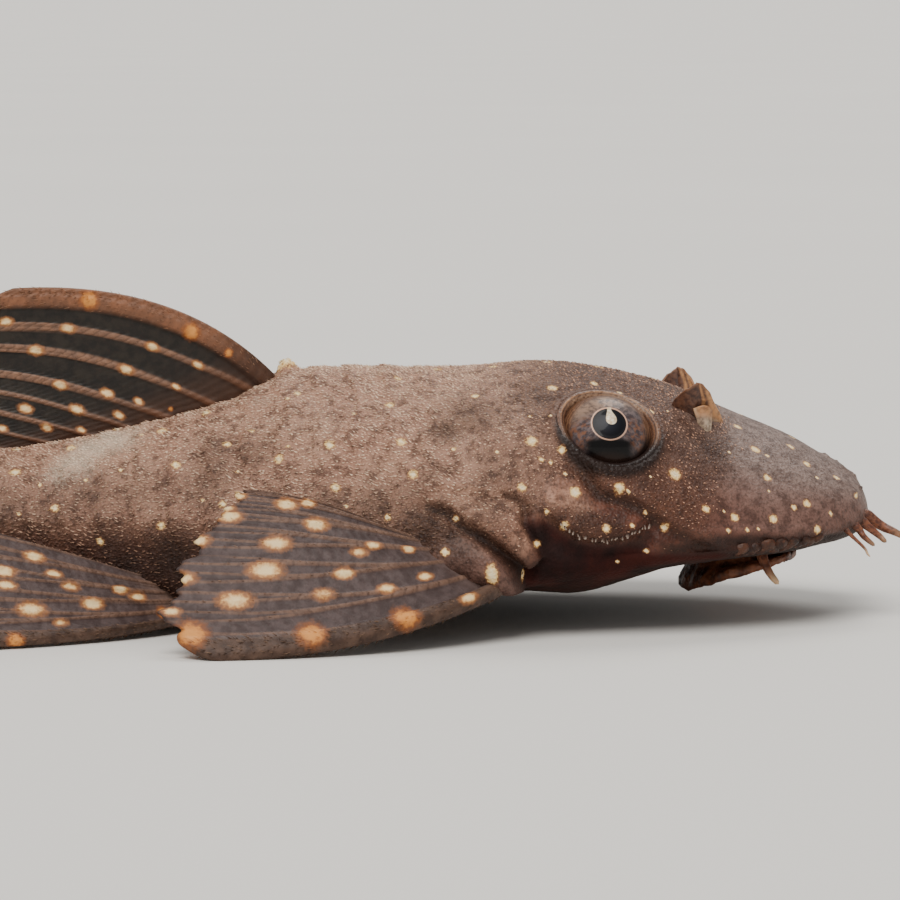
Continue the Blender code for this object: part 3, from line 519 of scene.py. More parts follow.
# %% Spots of the skin
SPOT_PIXELS = [
    (738, 427, .28), (755, 449, .32), (767, 455, .16), (729, 452, .13), (790, 446, .28), (807, 463, .26),
    (817, 478, .14), (837, 477, .22), (767, 477, .26), (768, 491, .10), (808, 503, .28), (793, 508, .20),
    (832, 513, .18), (856, 496, .20), (772, 519, .28), (736, 516, .26), (725, 512, .12), (705, 509, .26),
    (676, 474, .38), (729, 530, .17), (748, 529, .15), (759, 529, .12), (819, 529, .26), (665, 527, .24),
    (647, 551, .16), (649, 411, .24), (553, 387, .32), (593, 383, .26), (620, 392, .20), (532, 440, .36),
    (551, 416, .10), (529, 417, .12), (561, 450, .24), (541, 460, .17), (550, 463, .15), (565, 473, .14),
    (522, 486, .28), (574, 494, .36), (621, 489, .32), (628, 493, .12), (651, 476, .10), (668, 411, .10),
    (646, 512, .14), (606, 529, .26), (633, 525, .16), (563, 525, .22), (546, 513, .16), (538, 545, .24),
    (617, 561, .13), (397, 379, .24), (389, 405, .28), (399, 440, .30), (327, 446, .32), (277, 460, .30),
    (413, 475, .32), (334, 486, .30), (227, 445, .26), (175, 466, .28), (164, 431, .32), (208, 411, .26),
    (296, 394, .22), (286, 399, .16), (70, 447, .30), (18, 449, .32), (13, 472, .34), (160, 525, .26),
    (56, 508, .28), (102, 542, .24), (237, 472, .13), (239, 494, .20), (221, 505, .24), (389, 516, .22),
    (443, 552, .26), (20, 513, .15), (141, 434, .14), (454, 450, .16), (116, 428, .20), (289, 447, .12),
    (475, 395, .26), (497, 452, .14), (352, 412, .14), (455, 520, .20), (348, 505, .14),
    (40, 484, .15), (88, 480, .13), (122, 470, .14), (250, 430, .12), (200, 500, .13),
    (493, 575, .34), (522, 573, .13)]
LOCK_SPOT_RADIUS = 0.62
SPOT_APART = 2.9
SPOT_CLEAR_OF_EYE = 3.9
SPOT_FILL_TRIES = 3000
SPOT_FILL_RADII = [0.14, 0.26, 0.30, 0.34]
SPOT_LOWEST_SHARE = 0.62
SEEN_ANGLE = -0.12
SEEN_END_S = 52
NO_SPOT = 9.0

near_side = np.flatnonzero(skin_angle < 0.15)
near_world = points_of(skin_mesh)[near_side]
spots = []
for x, y, radius in SPOT_PIXELS:
    index = nearest_to_pixel(near_world, x, y)
    if index is not None:
        spots.append((skin_s[near_side[index]], skin_angle[near_side[index]], radius))
seen_spots = len(spots)
spots.append((LOCK_S, 0.0, LOCK_SPOT_RADIUS))
dice = np.random.RandomState(11)
for s, angle, radius in list(spots):
    if angle < SEEN_ANGLE:
        moved = (s + dice.uniform(-0.5, 0.5), -angle + dice.uniform(-0.05, 0.05))
        spots.append((moved[0], moved[1], radius * dice.uniform(0.85, 1.1)))
taken = [smooth_body(s, a) for s, a, _ in spots]
for _ in range(SPOT_FILL_TRIES):
    s, angle = dice.uniform(3, 74), dice.uniform(-SPOT_LOWEST_SHARE, SPOT_LOWEST_SHARE) * math.pi
    shown = s < SEEN_END_S and angle < SEEN_ANGLE
    point = smooth_body(s, angle)
    on_eye = any(np.linalg.norm(point - body_frame(EYE_S, EYE_ANGLE, side)[0]) < SPOT_CLEAR_OF_EYE
                 for _, side in SIDES)
    if not shown and not on_eye and min(np.linalg.norm(point - t) for t in taken) > SPOT_APART:
        spots.append((s, angle, dice.choice(SPOT_FILL_RADII)))
        taken.append(point)


def spot_reach(s, angle, spots_at):
    """Distance to the nearest spot, in radii of that spot."""
    here = smooth_body(s, angle)
    best = np.full(len(here), NO_SPOT)
    for at_s, at_angle, radius in spots_at:
        near = np.flatnonzero(np.abs(s - at_s) < 6 * radius)
        off = np.linalg.norm(here[near] - smooth_body(at_s, at_angle), axis=1)
        best[near] = np.minimum(best[near], off / radius)
    return best


print("spots placed from the photograph:", seen_spots, "in all:", len(spots))

# %% [markdown]
# What the skin is like varies from place to place. Plates are rough and grey
# brown; the gill cover, the hollow under the cheek and the snout's margin are
# bare, smooth and redder; the underside is darker on the head, as painted shade,
# and paler on the belly. Painted shade also darkens the hollow, slits, folds and
# creases, painted light brightens the upper flank, lit edges and a highlight
# patch, and the grey on top is partly a painted sheen. These are stored as
# numbers on the points, so that the skin and the bristles that stand on it get
# the same colours.

# %% What the skin is like from place to place
BARE_CHEEK = [(19.6, 0.365), (17.4, 0.40), (15.2, 0.425), (13.8, 0.45), (12.0, 0.48)]
# Painted shade: darker patches in creases, hollows and under parts, as pixels, radius in mm and strength.
SHADE_PIXELS = [
    (714, 448, 1.5, .40), (540, 395, 1.8, .30), (472, 414, 1.8, .40), (448, 432, 1.0, .60),
    (425, 532, 2.0, .70), (375, 512, 1.6, .45), (330, 505, 1.2, .40), (700, 395, 1.2, .25),
    (170, 555, 1.8, .75), (130, 570, 1.6, .70), (110, 545, 1.6, .45), (458, 548, 1.6, .95),
    (585, 521, 1.0, .45), (612, 524, 1.1, .45), (560, 516, 0.6, .35), (214, 452, 1.6, .34),
    (210, 474, 1.5, .36), (200, 494, 1.4, .34), (90, 496, 1.5, .36), (48, 508, 1.6, .38),
    (10, 508, 1.5, .40), (132, 496, 1.5, .28), (168, 492, 1.4, .26), (250, 452, 1.2, .30),
    (492, 456, 1.0, .24), (492, 478, 1.1, .32), (488, 500, 1.0, .30), (412, 492, 1.1, .34),
    (436, 474, 1.0, .26)]
# Painted light: paler patches where light falls, and the flank's highlight, given the same way.
PAINTED_LIGHT_PIXELS = [
    (553, 497, 0.8, .50), (566, 500, 0.8, .55), (580, 505, 0.8, .50), (95, 450, 2.6, .95),
    (500, 402, 1.6, .50), (450, 374, 1.8, .50), (60, 472, 1.3, .95), (440, 488, 1.6, .12),
    (500, 520, 1.2, .35), (360, 470, 1.8, .65), (420, 460, 1.4, .60), (300, 420, 2.0, .60),
    (520, 540, 0.9, .50)]
# Painted highlight: a near-white patch on the flank behind the head, as pixels, radius in mm and strength.
HIGHLIGHT_PIXELS = [
    (112, 440, 1.7, 1.0), (94, 449, 1.7, 1.0), (78, 460, 1.6, .95), (62, 470, 1.2, .70),
    (132, 432, 1.1, .65), (262, 400, 0.8, .40)]
BARE_SPOT = (19.4, 0.38)


def patches_at(rows):
    """Places of patches given by pixels: station, angle, radius in millimetres and strength."""
    found = [(nearest_to_pixel(near_world, x, y), radius, strength) for x, y, radius, strength in rows]
    return [(skin_s[near_side[i]], abs(skin_angle[near_side[i]]), r, k) for i, r, k in found if i is not None]


def near_patches(bare, rows):
    best = np.zeros(len(bare))
    for at_s, at_angle, radius, strength in rows:
        off = np.linalg.norm(bare - smooth_body(at_s, at_angle), axis=1)
        best = np.maximum(best, strength * bell(off, radius))
    return best


shade_patches = patches_at(SHADE_PIXELS)
painted_light_patches = patches_at(PAINTED_LIGHT_PIXELS)
highlight_patches = patches_at(HIGHLIGHT_PIXELS)


def skin_nature(s, angle):
    """Numbers for each place: rough, tone down the side, painted shade, the shaded hollow,
    grey with painted sheen, pale with painted light, and a painted highlight.
    """
    share = np.abs(angle) / math.pi
    bare = smooth_body(s, np.abs(angle))
    # Rough plates, less so or not at all on the belly, the gill cover, the snout and round the arm.
    rough = 1 - ramp_between(share, 0.60, 0.72)
    rough = np.maximum(rough, ramp_between(s, 46, 52) * (1 - ramp_between(share, 0.93, 0.99)))
    head = 1 - ramp_between(s, 20, 24)
    below_fringe = off_path(s, share, bare, FRINGE)
    on_gill = head * ramp_between(s, 12.6, 14.4) * (1 - ramp_between(below_fringe, -0.35, -0.1))
    rough *= 1 - on_gill
    rough *= 1 - 0.75 * head * bell(to_path(bare, on_body(BARE_CHEEK)), 0.75)
    rough *= 1 - 0.8 * head * ramp_between(share, 0.48, 0.53)
    rough *= 0.10 + 0.90 * ramp_between(s + 1.2 * np.sin(9 * share), 8.6, 12.2)
    pit = np.linalg.norm(bare - body_frame(NOSTRIL_S, NOSTRIL_ANGLE, 1)[0], axis=1)
    rough *= ramp_between(pit, 0.9, 1.6)
    rough *= 1 - 0.75 * bell(from_place(bare, BARE_SPOT), 1.1)
    below_plate = -off_path(s, share, bare, SHOULDER_EDGE)
    by_plate = within_path(s, SHOULDER_EDGE, 0.6)
    reach = [from_place(bare, (at_s, at_share), np.array([1.1 * long, 2.1, 1.5]))
             for at_s, at_share, long, _ in ARM_MOUNDS]
    arm = by_plate * ramp_between(below_plate, 0.3, 0.9) * (1 - ramp_between(np.min(reach, axis=0), 0.8, 1.5))
    rough *= 1 - 0.85 * arm

    # Painted shade: gill slit, under the cheek's fringe, under the eye, lip, ledge and shoulder plate,
    # patches.
    lower = ramp_between(share, 0.38, 0.56)
    behind = behind_slit(s, share)
    slit_wide = np.where(behind > 0, 0.28, 0.45 + 1.2 * lower)
    dark = (0.5 + 0.3 * lower) * bell(to_path(bare, on_body(GILL_SLIT)), slit_wide)
    dark = np.maximum(dark, 0.75 * within_path(s, FRINGE, 0.6) * bell(below_fringe + 0.8, 0.8)
                      * ramp_between(-behind, -0.1, 0.2))
    # Painted shade, with a dark red of its own: the hollow under the cheek's flap (deep).
    into_hollow = -off_path(s, share, bare, HOLLOW)
    deep = within_path(s, HOLLOW, 0.5) * ramp_between(into_hollow, -0.25, 0.45)
    deep *= ramp_between(share, 0.395, 0.45)
    deep *= (1 - 0.7 * ramp_between(share, 0.72, 0.88)) * ramp_between(-behind, -0.12, 0.18)
    under_eye = np.linalg.norm(bare - body_frame(EYE_S, EYE_ANGLE + 0.05, 1)[0], axis=1)
    dark = np.maximum(dark, 0.93 * (1 - ramp_between(under_eye, 3.00, 3.40)))
    below_lip = -off_path(s, share, bare, LIP_EDGE)
    dark = np.maximum(dark, 0.72 * (1 - ramp_between(s, 12.6, 14.6)) * ramp_between(below_lip, 0.0, 0.45))
    below_ledge = off_path(s, share, bare, LEDGE)
    dark = np.maximum(dark, 0.65 * within_path(s, LEDGE) * bell(below_ledge + 0.35, 0.36))
    dark = np.maximum(dark, near_patches(bare, shade_patches) * (1 - 0.35 * arm))
    dark = np.maximum(dark, 0.8 * by_plate * bell(below_plate - 0.35, 0.42))

    # Painted light on the upper flank and in patches, lit edges above folds, and grey on top, partly painted
    # sheen.
    pale = 0.9 * ramp_between(s, 17, 25) * (1 - ramp_between(share, 0.36, 0.52))
    pale *= 1 - 0.3 * ramp_between(s, 56, 70)
    pale = np.maximum(pale, near_patches(bare, painted_light_patches)) * (1 - 0.8 * dark)
    above_fold = off_path(s, share, bare, NECK_FOLD)
    pale = np.maximum(pale, within_path(s, NECK_FOLD, 0.4) * bell(above_fold - 0.15, 0.28))
    pale = np.maximum(pale, by_plate * ramp_between(s, 23.5, 25.5) * bell(below_plate + 0.22, 0.25))
    # Painted shade in the nostril pit.
    dark = np.maximum(dark, 0.9 * (1 - ramp_between(pit, 0.35, 1.0)))
    grey = (1 - ramp_between(share, 0.16, 0.42)) * 0.75 + 0.75 * (1 - ramp_between(s, 6, 14)) * (1 - share)
    grey *= 1 - 0.75 * (1 - ramp_between(s, 12.6, 14.6)) * ramp_between(below_lip, -0.15, 0.40)
    grey = np.maximum(grey * (1 - 0.55 * ramp_between(s, 21, 27)), 0.40 * arm)
    return {"rough": rough * (1 - deep), "tone": share - 0.11 * arm, "dark": dark, "deep": deep,
            "grey": np.clip(grey, 0, 1), "pale": pale * (1 - deep), "wet": near_patches(bare, highlight_patches)}


nature = skin_nature(skin_s, skin_angle)
paint_points(skin_mesh, spot=spot_reach(skin_s, skin_angle, spots), along=skin_s, **nature)
print("rough share of the skin:", round(float((nature["rough"] > 0.5).mean()), 2))

# %% [markdown]
# Finishes are built from nodes. A short helper keeps each recipe readable: it
# makes a node, links its inputs and returns its output. Patterns read the
# object's own coordinates in metres, so their size is true whatever is looked at.

# %% Helper for finishes
def tint(red, green, blue):
    """A colour given as it looks on a screen, 0 to 255, in the linear numbers that a shader wants."""
    parts = [c / 255 for c in (red, green, blue)]
    return tuple(c / 12.92 if c <= 0.04045 else ((c + 0.055) / 1.055) ** 2.4 for c in parts) + (1.0,)


class Finish:
    """One material and short calls for its nodes."""

    def __init__(self, name, **settings):
        self.material = bpy.data.materials.new(name)
        self.material.use_nodes = True
        self.tree = self.material.node_tree
        self.shader = self.tree.nodes["Principled BSDF"]
        for key, value in settings.items():
            self.shader.inputs[key.replace("_", " ")].default_value = value
        self.where = self.tree.nodes.new("ShaderNodeTexCoord").outputs["Object"]

    def glow_through(self, *radii_mm):
        """How far red, green and blue light spreads under the surface."""
        self.shader.inputs["Subsurface Radius"].default_value = tuple(radius * MM for radius in radii_mm)

    def node(self, kind, inputs, **settings):
        made = self.tree.nodes.new(kind)
        for key, value in settings.items():
            setattr(made, key, value)
        for key, value in inputs.items():
            if isinstance(value, bpy.types.NodeSocket):
                self.tree.links.new(value, made.inputs[key])
            elif value is not None:
                made.inputs[key].default_value = value
        return made

    def stored(self, name):
        return self.node("ShaderNodeAttribute", {}, attribute_name=name).outputs["Fac"]

    def math(self, operation, a, b=None, c=None):
        return self.node("ShaderNodeMath", {0: a, 1: b, 2: c}, operation=operation).outputs[0]

    def times(self, a, b):
        return self.math("MULTIPLY", a, b)

    def plus(self, a, b):
        return self.math("ADD", a, b)

    def noise(self, per_mm, detail=3.0, roughness=0.55):
        return self.node("ShaderNodeTexNoise", {"Vector": self.where, "Scale": per_mm / MM, "Detail": detail,
                                                "Roughness": roughness}).outputs["Fac"]

    def cells(self, per_mm):
        return self.node("ShaderNodeTexVoronoi", {"Vector": self.where,
                                                  "Scale": per_mm / MM}).outputs["Distance"]

    def steps(self, value, low, high, start=0.0, end=1.0):
        """Value mapped smoothly from low..high to start..end."""
        return self.node("ShaderNodeMapRange", {"Value": value, "From Min": low, "From Max": high,
                                                "To Min": start, "To Max": end},
                         interpolation_type="SMOOTHSTEP").outputs[0]

    def mix(self, share, a, b):
        made = self.node("ShaderNodeMix", {}, data_type="RGBA")
        for socket, value in ((made.inputs[0], share), (made.inputs[6], a), (made.inputs[7], b)):
            if isinstance(value, bpy.types.NodeSocket):
                self.tree.links.new(value, socket)
            else:
                socket.default_value = value
        return made.outputs[2]

    def bump(self, height, distance_mm, strength):
        return self.node("ShaderNodeBump", {"Height": height, "Distance": distance_mm * MM,
                                            "Strength": strength}).outputs["Normal"]

    def done(self, **sockets):
        for key, value in sockets.items():
            self.tree.links.new(value, self.shader.inputs[key.replace("_", " ")])
        return self.material


print("middle grey in linear numbers:", round(tint(128, 128, 128)[0], 3))

# %% [markdown]
# The skin is reddish brown, grey on top partly as a painted sheen, finely
# grained, with dark speckles, painted shade in its hollows and creases and
# painted light on the upper flank. A cream-gold spot has a ragged edge, because
# the bristles break it up: noise moves its threshold. The same finish dresses
# the bristles, whose tips are stored as 1 and are painted paler, partly as
# their own pale tips and partly as painted glints.

# %% Finish of the skin
def skin_recipe(name):
    f = Finish(name, Roughness=0.5, Specular_IOR_Level=0.26, Sheen_Weight=0.03, Sheen_Roughness=0.35)
    f.shader.inputs["Sheen Tint"].default_value = tint(255, 224, 196)
    rough, tone, dark, grey = f.stored("rough"), f.stored("tone"), f.stored("dark"), f.stored("grey")
    spot, tip, glint = f.stored("spot"), f.stored("tip"), f.stored("glint")
    broad, mid, fine = f.noise(0.35, 4), f.noise(1.3, 4, 0.7), f.noise(6.0, 3)
    brown = f.mix(f.steps(broad, 0.38, 0.62), tint(98, 62, 46), tint(128, 84, 63))
    # Grey on top, partly the skin's own grey and partly a painted sheen.
    brown = f.mix(f.times(grey, f.steps(mid, 0.2, 0.6, 0.55, 1.0)), brown, tint(130, 108, 97))
    bare = f.mix(f.steps(mid, 0.35, 0.65), tint(84, 42, 31), tint(108, 62, 48))
    bare = f.mix(grey, bare, f.mix(f.steps(mid, 0.3, 0.7), tint(112, 93, 86), tint(140, 119, 111)))
    colour = f.mix(rough, bare, brown)
    # Painted shade: the lower side darker.
    colour = f.mix(f.steps(tone, 0.42, 0.60, 0.0, 0.92), colour, tint(42, 20, 14))
    belly = f.times(f.steps(tone, 0.72, 0.86), f.steps(f.stored("along"), 20, 27))
    colour = f.mix(belly, colour, f.mix(fine, tint(126, 98, 78), tint(152, 124, 100)))
    # Painted light: the lit upper flank and patches mixed towards light tan.
    clear = f.times(f.stored("pale"), f.steps(mid, 0.32, 0.56, 0.50, 1.0))
    colour = f.mix(f.times(clear, 0.95), colour, f.mix(broad, tint(220, 160, 134), tint(255, 208, 176)))
    clumps = f.times(f.steps(mid, 0.54, 0.38), f.steps(rough, 0.1, 0.8, 0.32, 0.55))
    colour = f.mix(f.times(clumps, f.steps(clear, 0, 1, 1.0, 0.5)), colour, tint(46, 28, 22))
    speckle = f.times(f.steps(fine, 0.50, 0.64), f.steps(rough, 0.0, 0.7, 0.45, 0.60))
    colour = f.mix(f.times(speckle, f.steps(clear, 0, 1, 1.0, 0.55)), colour, tint(44, 27, 21))
    tipped = f.steps(tip, 0.0, 0.45)
    # Painted shade among the bristles: the skin between them and their roots darker.
    shade_among_bristles = f.times(f.math("SUBTRACT", 1.0, tipped), f.steps(rough, 0.2, 0.8, 0.0, 0.52))
    colour = f.mix(shade_among_bristles, colour, tint(64, 36, 26))
    # Painted glints at the bristle tips, partly their own pale colour; fewer on the shaded lower side.
    glow = f.plus(f.times(glint, 1.25), f.math("MULTIPLY_ADD", clear, 0.32, 0.03))
    shine = f.times(f.math("MINIMUM", f.times(tipped, glow), 1.0), f.steps(tone, 0.40, 0.66, 1.0, 0.45))
    colour = f.mix(shine, colour, f.mix(clear, tint(208, 160, 132), tint(255, 226, 196)))
    # Painted highlight: the flank patch mixed towards near white, most on the bristle tips; it is also less
    # rough.
    wet = f.plus(f.stored("wet"), f.steps(fine, 0.3, 0.7, -0.30, 0.12))
    wet = f.times(f.steps(wet, 0.00, 1.05), f.steps(tip, 0.0, 0.4, 0.40, 0.82))
    colour = f.mix(wet, colour, tint(255, 236, 210))
    # Painted shade in slits, hollows, folds, under edges and in patches.
    colour = f.mix(dark, colour, tint(26, 14, 10))
    # The hollow under the cheek: a dark red of its own, deepened by painted shade.
    throat_red_and_shade = f.mix(f.steps(broad, 0.35, 0.65), tint(28, 9, 7), tint(58, 19, 12))
    colour = f.mix(f.stored("deep"), colour, throat_red_and_shade)
    ragged = f.plus(spot, f.steps(f.noise(6.5, 2), 0.3, 0.7, -0.18, 0.18))
    halo = f.steps(ragged, 1.40, 0.90, 0.0, 0.45)
    colour = f.mix(halo, colour, tint(172, 116, 68))
    core = f.steps(ragged, 1.02, 0.78)
    colour = f.mix(core, colour, f.mix(f.steps(ragged, 0.9, 0.2), tint(236, 194, 124), tint(252, 232, 190)))
    grain = f.plus(f.cells(5.0), f.times(fine, 0.8))
    normal = f.bump(f.times(grain, f.steps(rough, 0.0, 1.0, 0.60, 1.0)), 0.09, 0.8)
    gloss = f.plus(f.steps(rough, 0.0, 1.0, 0.50, 0.52), f.steps(tone, 0.48, 0.62, 0.0, 0.18))
    gloss = f.math("MINIMUM", f.plus(gloss, f.times(f.stored("deep"), 0.3)), 0.95)
    gloss = f.math("SUBTRACT", gloss, f.times(f.stored("wet"), 0.24))
    return f.done(Base_Color=colour, Roughness=gloss, Normal=normal)


skin_finish = skin_recipe("skin_finish")
new_object("skin", skin_mesh, skin_finish, ["head", "torso", "tail"])
print("skin finish nodes:", len(skin_finish.node_tree.nodes))

# %% [markdown]
# Every plate of a bristlenose is covered with tiny bristles of enamel, which
# point backwards. There are tens of thousands, so each is only a four-sided
# spike: one is made with the cone operator and copied to every root. Thickness,
# length and lean are varied. Each spike's place on the texture sheet is a tiny
# patch at its root, so that it takes the colour of the skin there.

# %% Bristles of the skin
SPIKE_SIDES = 4
SHEET_PATCH = 0.0015
RING_POINTS = 65
BRISTLE_CLEAR_OF_EYE = 3.38


def one_spike():
    """A spike of height 1 and radius 1, standing on the origin: its points and faces."""
    bm = bmesh.new()
    bmesh.ops.create_cone(bm, cap_ends=False, segments=SPIKE_SIDES, radius1=1.0, radius2=0.0, depth=1.0)
    bmesh.ops.translate(bm, verts=bm.verts, vec=(0, 0, 0.5))
    bmesh.ops.remove_doubles(bm, verts=bm.verts, dist=1e-4)
    bmesh.ops.triangulate(bm, faces=bm.faces)
    bm.verts.index_update()
    points = np.array([v.co for v in bm.verts])
    faces = np.array([[v.index for v in f.verts] for f in bm.faces])
    bm.free()
    return points, faces


def spike_field(name, roots, directions, lengths, radii, sheet, values):
    """One mesh of many spikes. sheet holds each root's place on the texture sheet."""
    points, faces = one_spike()
    other = np.where(np.abs(directions[:, :1]) < 0.8, [[1.0, 0, 0]], [[0, 1.0, 0]])
    aside = unit(np.cross(directions, other))
    third = np.cross(directions, aside)
    at = (roots[:, None] + aside[:, None] * (points[None, :, 0:1] * radii[:, None, None])
          + third[:, None] * (points[None, :, 1:2] * radii[:, None, None])
          + directions[:, None] * (points[None, :, 2:3] * lengths[:, None, None]))
    count, size = len(roots), len(points)
    mesh = bpy.data.meshes.new(name)
    all_faces = (faces[None] + (np.arange(count) * size)[:, None, None]).reshape(-1, 3)
    mesh.from_pydata(at.reshape(-1, 3), [], all_faces)
    paint_points(mesh, tip=np.tile(points[:, 2], count), **{k: np.repeat(v, size) for k, v in values.items()})
    patch = mesh.uv_layers.new(name="OFBake")
    around = SHEET_PATCH * points[:, :2]
    where = (sheet[:, None] + around[None]).reshape(-1, 2)[all_faces.reshape(-1)]
    patch.data.foreach_set("uv", where.astype(np.float32).ravel())
    mesh.shade_smooth()
    return mesh


def skin_roots(start, end, apart, seed):
    """Places spread evenly over the skin between two stations, kept where it is rough."""
    rng = np.random.RandomState(seed)
    found = []
    turns = np.linspace(-math.pi, math.pi, RING_POINTS)
    for s in np.arange(start, end, apart * 0.86):
        ring = smooth_body(np.full(RING_POINTS, s), turns)
        reach = np.concatenate([[0], np.cumsum(np.linalg.norm(np.diff(ring, axis=0), axis=1))])
        count = max(4, int(reach[-1] / apart))
        spread = (np.arange(count) + rng.uniform(-0.38, 0.38, count) + rng.rand()) / count * reach[-1]
        angles = np.interp(spread % reach[-1], reach, turns)
        found.append(np.stack([s + rng.uniform(-0.4, 0.4, count) * apart, angles], 1))
    found = np.concatenate(found)
    chance = skin_nature(found[:, 0], found[:, 1])["rough"]
    keep = rng.rand(len(found)) < ramp_between(chance, 0.12, 0.75)
    here = smooth_body(found[:, 0], found[:, 1])
    beside = [np.linalg.norm(here - body_frame(EYE_S, EYE_ANGLE, side)[0], axis=1) for _, side in SIDES]
    keep &= np.minimum(*beside) > BRISTLE_CLEAR_OF_EYE
    keep &= (found[:, 0] > 0.8) & (found[:, 0] < BODY_LENGTH - 1.2)
    return found[keep]


def skin_bristles(name, start, end, apart, length, seed):
    """One piece of bristles between two stations, with their spacing and length in millimetres."""
    s, angle = skin_roots(start, end, apart, seed).T
    rng = np.random.RandomState(seed + 1)
    nature = skin_nature(s, angle)
    here = skin_place(s, angle)
    behind = skin_place(s + 0.25, angle)
    out = body_normal(s, angle)
    back = unit(behind - here)
    lift = rng.uniform(0.20, 0.85, len(s))[:, None]
    tuft = lumps(here, 1.6, 15.0)
    aside = np.cross(out, back) * (rng.uniform(-0.45, 0.45, len(s)) + 0.9 * tuft)[:, None]
    lean = unit(back + out * lift + aside)
    glint = rng.rand(len(s)) ** 2.5
    long = length * rng.uniform(0.6, 1.3, len(s)) * (0.7 + 0.3 * nature["rough"]) * (1 + 0.4 * tuft)
    tips = place(here + lean * 0.1) - place(here)
    mesh = spike_field(name, place(here - lean * 0.04), unit(tips), long * MM,
                       rng.uniform(0.036, 0.052, len(s)) * (1 + 0.35 * glint) * MM,
                       np.stack([0.02 + 0.96 * s / BODY_LENGTH, 0.5 + 0.48 * angle / math.pi], 1),
                       {"spot": spot_reach(s, angle, spots), "along": s, "glint": glint, **nature})
    new_object(name, mesh, skin_finish)
    print(name, "spikes:", len(s), "faces:", len(mesh.polygons))


skin_bristles("head_bristles", start=0.8, end=25.0, apart=0.235, length=0.18, seed=21)
skin_bristles("trunk_bristles", start=25.0, end=50.0, apart=0.245, length=0.26, seed=31)
skin_bristles("tail_bristles", start=50.0, end=74.0, apart=0.27, length=0.25, seed=41)

# %% [markdown]
# The eye is a ball sunk in the head, seen through a round orbit. What makes it
# a pleco's eye is the pupil: a lobe of the iris hangs into it from above like
# a drop. The iris is metallic grey blue with bronze, black under the pupil. It
# is painted by the place on the eye, measured from the line of sight.

# %% Finish of the eye
GAZE_RISE = math.radians(35)
GAZE_AHEAD = math.radians(3)
PUPIL_DROP = 0.10
PUPIL_RADIUS = 1.0


def eye_axes(side):
    """The line of sight, and the directions ahead and up across it."""
    gaze = unit(np.array([-math.sin(GAZE_AHEAD), side * math.cos(GAZE_RISE), math.sin(GAZE_RISE)]))
    ahead = unit(np.array([-1.0, 0, 0]) - gaze * -gaze[0])
    up = np.cross(ahead, gaze) * side
    return gaze, ahead, up * np.sign(up[2])


